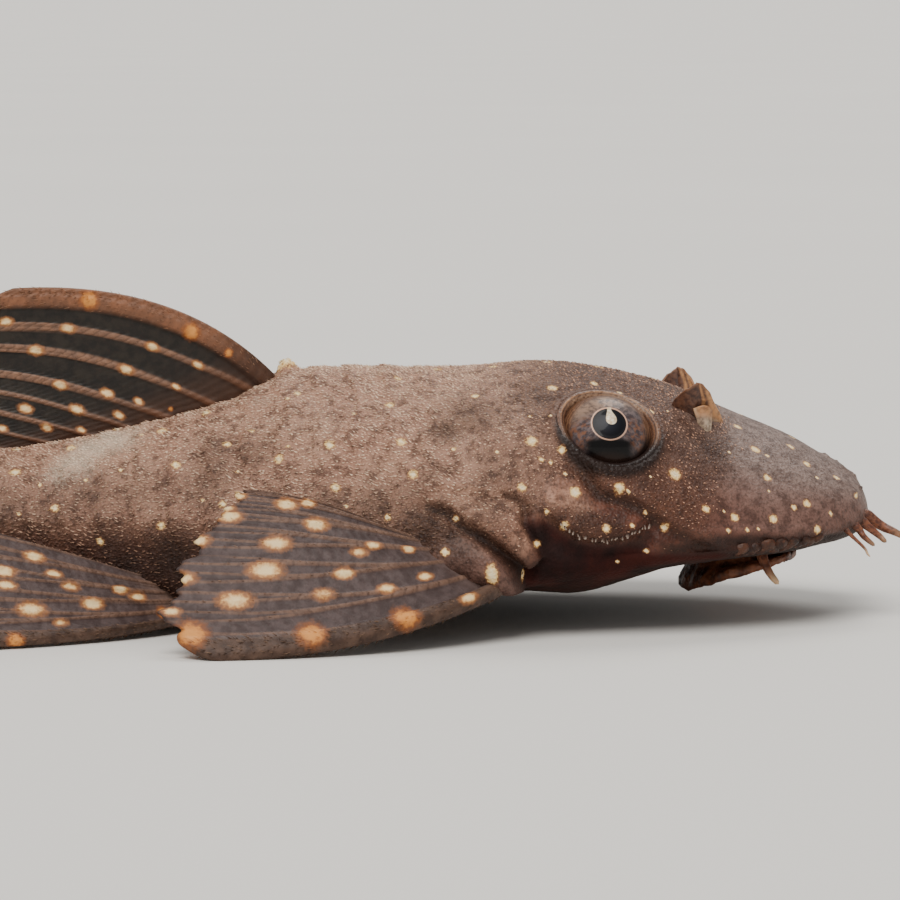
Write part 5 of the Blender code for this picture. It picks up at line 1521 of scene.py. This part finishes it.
class Fan:
    """The shape of one fin: curve(u) gives the control points of the rays at places u, counted in rays."""

    def __init__(self, name, curve, rays, spine=0.0, lead=0.0, ray_half=0.13, spine_half=0.30, forks=1.0,
                 crowded=0.0, fleshy=0.0):
        self.name, self.curve, self.rays, self.spine, self.lead = name, curve, rays, spine, lead
        self.ray_half, self.spine_half, self.forks = ray_half, spine_half, forks
        self.crowded, self.fleshy = crowded, fleshy

    def middle(self, u, f):
        web = 0.5 - 0.5 * np.cos(2 * math.pi * np.maximum(u, 0.0))
        ragged = 0.007 * np.sin(9.0 * u + 1.0) + 0.005 * np.sin(23.0 * u)
        corner = 0.09 * np.clip((0.4 - u) / 0.68, 0, 1) ** 2 - 0.020 * bell(u - 0.75, 0.30)
        return bezier(self.curve(u), f * (1 - NOTCH * web + ragged * (u > 0.3) - corner))

    def directions(self, u, f):
        """Along the ray, out of the fin's face, and millimetres for one ray's step across."""
        along = self.middle(u, np.minimum(f + 0.02, 1)) - self.middle(u, np.maximum(f - 0.02, 0))
        after, before = np.minimum(u + 0.05, self.rays - 1), np.maximum(u - 0.05, -self.lead)
        across = self.middle(after, f) - self.middle(before, f)
        out = unit(np.cross(along, across))
        return unit(along), out, np.linalg.norm(across, axis=1) / (after - before)

    def ray_mask(self, u, f, step):
        """1 on the ridge of a soft ray, falling to 0 on the web. Rays fork twice towards the tip."""
        u = u + self.gather(u, f)
        nearest = np.clip(np.round(u), 0, self.rays - 1)
        fork, twig = fork_reach(f)
        off = np.abs(np.abs(np.abs(u - nearest) - fork * self.forks) - twig * self.forks)
        half = self.ray_half * (1 - 0.45 * ramp_between(f, 0.3, 1.0))
        return bell(off * step, half)

    def gather(self, u, f):
        """How far the rays stand nearer to the spine than an even fan has them, most at the root."""
        return self.crowded * (1 - 0.9 * ramp_between(u, 1.7, 3.0) + 1.1 * bell(f, 0.2))

    def thickness(self, u, f):
        along, out, step = self.directions(u, f)
        mask = self.ray_mask(u, f, step)
        thick = WEB_THICK + RAY_HIGH * mask * (1 - 0.45 * f)
        if self.spine:
            round_off = np.sqrt(np.clip(1 - ((u - 0.02) / self.spine_half) ** 2, 0, 1))
            thick = np.maximum(thick, self.spine * (1 - 0.58 * f) * round_off)
        thick = thick + self.fleshy * bell(f, 0.15)
        thick = thick * ramp_between(f, 0.0, 0.24 if self.fleshy else 0.06)
        first = np.sqrt(np.clip((u + self.lead) / 0.12, 0, 1))
        last = np.sqrt(np.clip((self.rays - 1 - u) / 0.10, 0, 1))
        ends = np.where((f <= 0) | (f >= 1), 0.0, np.sqrt(np.clip((1 - f) / 0.012, 0, 1)))
        return thick * first * last * ends, mask, out, along


def fan_mesh(fan, columns_per_ray, rows):
    """A closed fin with the numbers that its finish reads, and each point's place on the fan."""
    columns = int(columns_per_ray * (fan.rays - 1 + fan.lead)) * 2

    def spread(w):
        face = 1 - np.abs(2 * w - 1)
        return -fan.lead + (fan.rays - 1 + fan.lead) * face

    def shape(w, f):
        u = spread(w)
        thick, _, out, _ = fan.thickness(u, f)
        face = np.where(w < 0.5, 1.0, -1.0)
        return place(fan.middle(u, f) + out * (face * thick / 2)[:, None])

    mesh = bent_grid(fan.name, columns, rows, shape, FAN_MERGE)
    u, f = spread(kept(mesh, "u")), kept(mesh, "v")
    mask = fan.thickness(u, f)[1]
    spine = np.zeros_like(u)
    if fan.spine:
        spine = 1 - ramp_between(u, 0.4 * fan.spine_half, 1.1 * fan.spine_half)
    paint_points(mesh, ray=mask, spine=spine, share=f)
    return mesh, u, f


print("web is", WEB_THICK, "mm thick")

# %% [markdown]
# The fins of this fish, with the control points of the solids. Only the root
# of the pectoral spine is set deeper, to stay under the skin. The pectoral fin
# opens from the floor, where its spine lies, up along the flank.

# %% The eight fins
PECTORAL_RAYS, PELVIC_RAYS, DORSAL_RAYS, CAUDAL_RAYS, ADIPOSE_RAYS, ANAL_RAYS = 7, 6, 8, 14, 3, 5
LEAD = 0.28
PECTORAL_SPINE = ray((20.4, 8.3, 4.3), (22.4, 14.6, 2.9), (31.8, 18.4, 0.0), (41.8, 18.2, 0.62))
PECTORAL_INNER = ray((26.0, 10.7, 4.8), (29.0, 12.3, 6.4), (33.4, 11.3, 8.6), (37.7, 9.3, 8.45))
PELVIC_SPINE = ray((39.3, 5.8, 1.2), (42.0, 9.5, 0.35), (47.5, 13.0, 0.5), (54.5, 14.4, 0.5))
PELVIC_INNER = ray((41.0, 6.2, 2.3), (44.5, 8.4, 3.7), (50.5, 7.9, 5.7), (55.8, 6.7, 6.9))
DORSAL_SPINE = ray((35.4, 0, 13.2), (39.5, 0, 17.8), (45.5, 0, 19.8), (53.6, 0, 18.8))
DORSAL_LAST = ray((51.0, 0, 9.4), (54.5, 0, 10.7), (58.5, 0, 11.3), (62.5, 0, 11.6))
DORSAL_LEAD = np.array([-0.9, 0, 2.2])
CAUDAL_UPPER = ray((73.6, 0, 9.3), (80.0, 0, 10.8), (88.0, 0, 13.6), (95.0, 0, 16.2))
CAUDAL_LOWER = ray((73.6, 0, 2.2), (80.0, 0, 1.5), (90.0, 0, 0.62), (98.5, 0, 0.62))
ADIPOSE_SPINE = ray((63.2, 0, 8.6), (64.2, 0, 10.6), (65.6, 0, 12.0), (67.4, 0, 12.9))
ADIPOSE_LAST = ray((68.2, 0, 8.7), (68.6, 0, 9.6), (69.0, 0, 10.2), (69.6, 0, 10.9))
ANAL_FIRST = ray((52.0, 0.2, 1.9), (54.0, -1.8, 0.6), (57.0, -3.6, 0.5), (61.0, -4.8, 0.45))
ANAL_LAST = ray((55.5, -0.1, 2.1), (58.0, -0.7, 0.95), (61.0, -0.9, 0.7), (64.5, -1.0, 0.55))


def pectoral_curve(side):
    def curve(u):
        share = np.sin(math.pi / 2 * np.minimum(u / (PECTORAL_RAYS - 1), 1.0))
        return between_rays(PECTORAL_SPINE, PECTORAL_INNER, share, 1.6) * np.array([1, side, 1])
    return curve


def pelvic_curve(side):
    def curve(u):
        return between_rays(PELVIC_SPINE, PELVIC_INNER, u / (PELVIC_RAYS - 1), 0.6) * np.array([1, side, 1])
    return curve


def dorsal_curve(u):
    share = np.maximum(u, 0.0) / (DORSAL_RAYS - 1)
    mixed = between_rays(DORSAL_SPINE, DORSAL_LAST, share)
    lower = (DORSAL_LAST - DORSAL_SPINE)[None, :, 2] * share[:, None] ** 0.65
    mixed[:, :, 2] = DORSAL_SPINE[None, :, 2] + lower
    mixed += DORSAL_LEAD * np.maximum(-u, 0.0)[:, None, None]
    return swayed(mixed, 0.7, 3.2 * share)


def caudal_curve(u):
    share = u / (CAUDAL_RAYS - 1)
    return swayed(between_rays(CAUDAL_UPPER, CAUDAL_LOWER, share, -4.6), 0.9, math.pi / 2 - 5.5 * share)


def adipose_curve(u):
    return between_rays(ADIPOSE_SPINE, ADIPOSE_LAST, u / (ADIPOSE_RAYS - 1))


def anal_curve(u):
    return between_rays(ANAL_FIRST, ANAL_LAST, u / (ANAL_RAYS - 1))


FANS = [Fan("pectoral_fin_" + word, pectoral_curve(side), PECTORAL_RAYS, spine=1.35, lead=LEAD,
            ray_half=0.20, fleshy=1.6) for word, side in SIDES]
FANS += [Fan("pelvic_fin_" + word, pelvic_curve(side), PELVIC_RAYS, spine=1.05, lead=LEAD,
             ray_half=0.18, fleshy=0.9) for word, side in SIDES]
FANS += [Fan("dorsal_fin", dorsal_curve, DORSAL_RAYS, spine=0.95, lead=LEAD, ray_half=0.30,
             spine_half=0.16, forks=0.35, crowded=0.32),
         Fan("caudal_fin", caudal_curve, CAUDAL_RAYS, spine=0.9, lead=LEAD, ray_half=0.16),
         Fan("adipose_fin", adipose_curve, ADIPOSE_RAYS, spine=0.85, lead=LEAD),
         Fan("anal_fin", anal_curve, ANAL_RAYS)]
print("fins:", len(FANS))

# %% [markdown]
# The web is thin and lets some light through, so its finish is partly clear;
# the rays are solid, jointed across, and a little warmer. Spots sit on the rays
# and are drawn out along them. Those on a spine are large and orange.

# %% Finish of the fins
def fin_recipe(name, web, web_far, ray_colour, spine_colour, spine_far, root_colour_and_shade, clear):
    f = Finish(name, Roughness=0.48, Specular_IOR_Level=0.24, Sheen_Weight=0.03)
    ray_at, spine, share = f.stored("ray"), f.stored("spine"), f.stored("share")
    mid, fine = f.noise(1.4, 4), f.noise(7.0, 3)
    membrane = f.mix(f.steps(mid, 0.35, 0.65), web, web_far)
    solid = f.mix(f.steps(mid, 0.3, 0.7), ray_colour, tint(118, 90, 75))
    joints = f.math("SINE", f.times(share, 190.0))
    solid = f.mix(f.steps(joints, 0.55, 0.95, 0.0, 0.4), solid, tint(64, 44, 36))
    colour = f.mix(f.steps(ray_at, 0.12, 0.8), membrane, solid)
    grainy = f.mix(f.steps(mid, 0.3, 0.7), spine_colour, spine_far)
    stout = f.math("MAXIMUM", spine, f.steps(share, 0.26, 0.06, 0.0, 0.9))
    colour = f.mix(stout, colour, grainy)
    # The root: on the side fins the fleshy base's own colour, on the back fins painted shade by the body.
    root = f.times(f.steps(share, 0.36, 0.12, 0.0, 0.75), f.steps(ray_at, 0.2, 0.8, 1.0, 0.45))
    colour = f.mix(root, colour, root_colour_and_shade)
    colour = f.mix(f.times(f.steps(fine, 0.54, 0.68), 0.3), colour, tint(58, 38, 32))
    ragged = f.plus(f.stored("spot"), f.steps(f.noise(4.0, 2), 0.3, 0.7, -0.12, 0.12))
    orange = f.steps(f.stored("warm"), 0.3, 0.7)
    halo = f.mix(orange, tint(168, 110, 66), tint(150, 88, 44))
    colour = f.mix(f.steps(ragged, 1.5, 0.9, 0.0, 0.7), colour, halo)
    core = f.mix(orange, f.mix(f.steps(ragged, 0.95, 0.3), tint(208, 150, 88), tint(244, 214, 160)),
                 f.mix(f.steps(ragged, 1.0, 0.3), tint(186, 116, 56), tint(216, 146, 74)))
    colour = f.mix(f.steps(ragged, 1.02, 0.66), colour, core)
    # Paler bristle tips by their glint: partly their own pale tips, partly painted glints.
    tip = f.stored("tip")
    colour = f.mix(f.times(tip, f.times(f.stored("glint"), 0.6)), colour, tint(206, 162, 124))
    opaque = f.math("MAXIMUM", f.steps(ray_at, 0.2, 0.7, clear, 1.0), f.steps(ragged, 1.5, 0.9))
    opaque = f.math("MAXIMUM", opaque, f.math("MAXIMUM", stout, f.math("GREATER_THAN", tip, 0.001)))
    height = f.plus(f.times(fine, 0.7), f.times(joints, -0.25))
    return f.done(Base_Color=colour, Alpha=opaque, Normal=f.bump(height, 0.06, 0.6))


side_fin_finish = fin_recipe("side_fin_finish", web=tint(68, 54, 52), web_far=tint(88, 73, 71),
                             ray_colour=tint(96, 71, 59), spine_colour=tint(60, 43, 35),
                             spine_far=tint(92, 70, 58), root_colour_and_shade=tint(134, 107, 94), clear=0.92)
back_fin_finish = fin_recipe("back_fin_finish", web=tint(30, 26, 23), web_far=tint(46, 40, 34),
                             ray_colour=tint(142, 106, 84), spine_colour=tint(116, 80, 60),
                             spine_far=tint(138, 92, 66), root_colour_and_shade=tint(46, 33, 27), clear=0.93)
print("fin finish nodes:", len(side_fin_finish.node_tree.nodes))

# %% [markdown]
# Spots on the fins that the photograph shows are placed from it, and the far
# side repeats them. The last number is 1 for the orange ones. Other fins get a
# row along each ray, staggered from ray to ray, as the real ones have.

# %% Spots of the fins
PECTORAL_SPOTS = [
    (192, 635, .95, 1), (311, 633, .85, 1), (405, 616, .80, 1), (468, 598, .36, 0), (493, 576, .30, 0),
    (235, 603, .62, 0), (323, 597, .44, 0), (387, 588, .34, 0), (425, 577, .28, 0), (178, 576, .50, 0),
    (265, 571, .60, 0), (345, 572, .38, 0), (198, 541, .48, 0), (277, 543, .52, 0), (359, 554, .32, 0),
    (230, 517, .46, 0), (316, 525, .42, 0), (374, 545, .28, 0), (222, 505, .34, 0), (287, 504, .40, 0),
    (239, 495, .28, 0), (307, 503, .28, 0), (408, 549, .24, 0), (172, 612, .34, 0)]
PELVIC_SPOTS = [
    (35, 556, .38, 0), (4, 571, .42, 0), (54, 574, .30, 0), (7, 585, .36, 0), (70, 588, .34, 0),
    (31, 609, .52, 0), (93, 604, .40, 0), (121, 589, .30, 0), (138, 597, .32, 0), (164, 612, .42, 1),
    (15, 641, .50, 1), (60, 625, .30, 0)]
DORSAL_SPOTS = [
    (90, 299, .85, 1), (191, 333, .80, 1), (229, 352, .40, 1), (69, 328, .42, 0), (152, 347, .40, 0),
    (199, 365, .36, 0), (35, 351, .46, 0), (126, 369, .44, 0), (176, 387, .28, 0), (60, 386, .42, 0),
    (108, 393, .40, 0), (138, 402, .30, 0), (25, 409, .42, 0), (77, 410, .44, 0), (119, 415, .34, 0),
    (170, 409, .22, 1), (47, 427, .36, 0), (82, 430, .28, 0), (2, 428, .32, 0), (6, 322, .40, 0)]
SPOT_STRETCH = 1.6
WARM_SPOT_STRETCH = 0.95
DORSAL_SPOT_SHARE = 0.66
FIN_PIXEL_REACH = 14
BEYOND_PHOTO_X = -13.2
BACK_FINS = ("dorsal_fin", "caudal_fin", "adipose_fin")
SPOT_RULES = [("pelvic_fin_right", 0.5, 0.25, 3), ("dorsal_fin", 0.3, 0.17, 4), ("caudal_fin", 0.12, 0.17, 5),
              ("adipose_fin", 0.3, 0.4, 6), ("anal_fin", 0.25, 0.3, 7)]


def spots_from_pixels(name, rows, size=1.0):
    """Spots of a fin as (place, direction of its ray, radius, 1 if orange), from pixels."""
    mesh, _, _, along = fin_parts[name]
    points = points_of(mesh)
    found = []
    for x, y, radius, warm in rows:
        index = nearest_to_pixel(points, x, y, FIN_PIXEL_REACH)
        if index is not None:
            found.append((points[index] / MM, along[index], radius * size, warm))
    return found


def spots_by_rule(name, start, apart, seed):
    """A row of spots along each ray, in shares of the ray's length."""
    mesh, u, f, along = fin_parts[name]
    points = points_of(mesh)
    rng = np.random.RandomState(seed)
    found = []
    for k in range(fan_named[name].rays):
        for share in np.arange(start + 0.5 * apart * (k % 2), 0.97, apart):
            want = share + rng.uniform(-0.2, 0.2) * apart
            index = int(np.argmin((u - k) ** 2 + (8 * (f - want)) ** 2))
            warm = 1 if k == 0 else 0
            radius = rng.uniform(0.20, 0.30) * (2.0 if warm else 1)
            found.append((points[index] / MM, along[index], radius, warm))
    return found


def fin_spot_reach(here, spots_at):
    """Distance to the nearest spot, in its radii and drawn out along its ray, and 1 where it is orange."""
    best, warm = np.full(len(here), NO_SPOT), np.zeros(len(here))
    for centre, along, radius, is_warm in spots_at:
        away = here - centre
        length = away @ along
        side = np.linalg.norm(away - length[:, None] * along, axis=1)
        off = np.hypot(length / ((WARM_SPOT_STRETCH if is_warm else SPOT_STRETCH) * radius), side / radius)
        warm = np.where(off < best, is_warm, warm)
        best = np.minimum(best, off)
    return {"spot": best, "warm": warm}


def mirrored_spots(found):
    flip = np.array([1, -1, 1])
    return [(centre * flip, along * flip, radius, warm) for centre, along, radius, warm in found]


def world_along(u, f, fan):
    """The rays' directions in the world, after the tail's bend."""
    return unit(place(fan.middle(u, np.minimum(f + 0.01, 1))) - place(fan.middle(u, np.maximum(f - 0.01, 0))))


fan_named = {fan.name: fan for fan in FANS}
fin_parts = {}
for fan in FANS:
    fine = 14 if fan.name == "caudal_fin" else 20
    rows = 40 if fan.name in ("adipose_fin", "anal_fin") else 110
    mesh, u, f = fan_mesh(fan, fine, rows)
    fin_parts[fan.name] = (mesh, u, f, world_along(u, f, fan))
fin_spots = {"pectoral_fin_right": spots_from_pixels("pectoral_fin_right", PECTORAL_SPOTS),
             "pelvic_fin_right": spots_from_pixels("pelvic_fin_right", PELVIC_SPOTS),
             "dorsal_fin": spots_from_pixels("dorsal_fin", DORSAL_SPOTS, DORSAL_SPOT_SHARE)}
for name, start, apart, seed in SPOT_RULES:
    added = spots_by_rule(name, start, apart, seed)
    if name in fin_spots:
        added = [row for row in added if row[0][0] < BEYOND_PHOTO_X]
    fin_spots[name] = fin_spots.get(name, []) + added
for kind in ("pectoral_fin_", "pelvic_fin_"):
    fin_spots[kind + "left"] = mirrored_spots(fin_spots[kind + "right"])
for fan in FANS:
    mesh = fin_parts[fan.name][0]
    paint_points(mesh, **fin_spot_reach(points_of(mesh) / MM, fin_spots[fan.name]))
    finish = back_fin_finish if fan.name in BACK_FINS else side_fin_finish
    new_object(fan.name, mesh, finish, [fan.name])
    print(fan.name, "faces:", len(mesh.polygons), "spots:", len(fin_spots[fan.name]))

# %% [markdown]
# Fine bristles also stand on the rays, in a row along each, and thickly on the
# spines, where they get longer towards the tip. A male's pectoral spine looks
# like a bottle brush there.

# %% Bristles of the fins
FIN_BRISTLES_APART = 0.42
SPINE_BRISTLES = 13


def fin_bristles(fan, apart, seed):
    """Roots on both faces of every ray, and all round the spine."""
    rng = np.random.RandomState(seed)
    second_ray = fan.middle(np.full(30, 1.0), np.linspace(0, 1, 30))
    count = int(float(np.linalg.norm(np.diff(second_ray, axis=0), axis=1).sum()) / apart)
    rows = []
    for k in range(1, fan.rays):
        f = np.linspace(0.10, 0.97, count) + rng.uniform(-0.3, 0.3, count) / count
        for face in (1.0, -1.0):
            fork, twig = fork_reach(f)
            aside = (fork * rng.choice([-1, 1], count) + twig * rng.choice([-1, 1], count)) * fan.forks
            aside = aside - fan.gather(np.full(count, k - fan.crowded), f)
            rows.append(np.stack([np.clip(k + aside, 0, fan.rays - 1.02), f, np.full(count, face),
                                  np.zeros(count)], 1))
    if fan.spine:
        many = count * SPINE_BRISTLES
        rows.append(np.stack([rng.uniform(-0.26, 0.75 * fan.spine_half, many), rng.uniform(0.12, 0.99, many),
                              rng.choice([-1.0, 1.0], many), np.ones(many)], 1))
    u, f, face, stout = np.concatenate(rows).T
    f = np.clip(f, 0.02, 0.98)
    thick, _, out, along = fan.thickness(u, f)
    here = fan.middle(u, f) + out * (face * thick * 0.47)[:, None]
    ahead_u = np.where(stout > 0, -np.sign(0.02 - u), 0.0)
    across = unit(fan.middle(u + 0.03, f) - fan.middle(u - 0.03, f))
    rise = out * face[:, None] + across * (ahead_u * np.clip(np.abs(u - 0.02) / 0.25, 0, 1) * 1.6)[:, None]
    lean = unit(along + unit(rise) * rng.uniform(0.45, 0.9, len(u))[:, None])
    length = np.where(stout > 0, 0.22 + 0.34 * f**2, 0.20 + 0.06 * f) * rng.uniform(0.6, 1.25, len(u))
    root = place(here - lean * 0.03)
    lean, length = unit(place(here + lean * 0.1) - place(here)), length * MM
    above = (root + lean * length[:, None])[:, 2] > 0.02 * MM
    return root[above], lean[above], length[above], u[above], f[above], stout[above]


side_sets, back_sets = [], []
for number, fan in enumerate(FANS):
    root, lean, length, u, f, stout = fin_bristles(fan, FIN_BRISTLES_APART, 60 + number)
    radius = np.random.RandomState(80 + number).uniform(0.024, 0.040, len(u)) * MM
    column = (number + 0.5 + 0.9 * (u / fan.rays - 0.5)) / len(FANS)
    spikes = spike_field(fan.name + "_bristles", root, lean, length, radius,
                         np.stack([0.02 + 0.96 * f, np.clip(column, 0.01, 0.99)], 1),
                         {**fin_spot_reach(root / MM, fin_spots[fan.name]), "ray": np.ones(len(u)),
                          "spine": stout, "share": f,
                          "glint": np.random.RandomState(90 + number).rand(len(u)) ** 1.5})
    (back_sets if fan.name in BACK_FINS else side_sets).append(spikes)
    print(fan.name, "bristles:", len(u))
new_object("side_fin_bristles", joined("side_fin_bristles", side_sets), side_fin_finish)
new_object("back_fin_bristles", joined("back_fin_bristles", back_sets), back_fin_finish)

# %% [markdown]
# The fish is shown on a plain pale floor under soft studio light. The main
# light stands high, so that the back is bright and the throat falls dark, and
# a weaker one from behind draws the bright edge along the back. Both are far
# away, because a near lamp would light the floor in a patch.

# %% Floor and light
FLOOR_RADIUS = 60.0
LAMPS = [("key_lamp", -25, 60, 42, 2.8, (1.0, 0.97, 0.93)),
         ("edge_lamp", 160, 52, 30, 1.1, (1.0, 0.98, 0.95))]
SKY_COLOUR = (0.80, 0.80, 0.79, 1)
SKY_STRENGTH = 0.55


def floor_recipe():
    f = Finish("floor_finish", Roughness=0.7, Specular_IOR_Level=0.3)
    colour = f.mix(f.steps(f.noise(0.01, 1), 0.2, 0.8), tint(229, 226, 221), tint(231, 228, 223))
    return f.done(Base_Color=colour)


floor_bm = bmesh.new()
bmesh.ops.create_circle(floor_bm, cap_ends=True, segments=64, radius=FLOOR_RADIUS)
floor_mesh = bpy.data.meshes.new("floor")
floor_bm.to_mesh(floor_mesh)
floor_bm.free()
floor = bpy.data.objects.new("floor", floor_mesh)
floor_mesh.materials.append(floor_recipe())
bpy.context.scene.collection.objects.link(floor)


def lamp(name, azimuth, elevation, wide, power, colour):
    """A soft far light, from a direction in degrees: azimuth 0 is the camera's side, 90 the head's."""
    data = bpy.data.lights.new(name, "SUN")
    data.energy, data.angle, data.color = power, math.radians(wide), colour
    made = bpy.data.objects.new(name, data)
    a, e = math.radians(azimuth), math.radians(elevation)
    toward = Vector((math.sin(a) * math.cos(e), -math.cos(a) * math.cos(e), math.sin(e)))
    made.rotation_euler = (-toward).to_track_quat("-Z", "Y").to_euler()
    bpy.context.scene.collection.objects.link(made)


for row in LAMPS:
    lamp(*row)
world = bpy.data.worlds.new("studio")
world.use_nodes = True
sky = world.node_tree.nodes["Background"]
sky.inputs["Color"].default_value = SKY_COLOUR
sky.inputs["Strength"].default_value = SKY_STRENGTH
bpy.context.scene.world = world
print("lamps:", len(LAMPS))
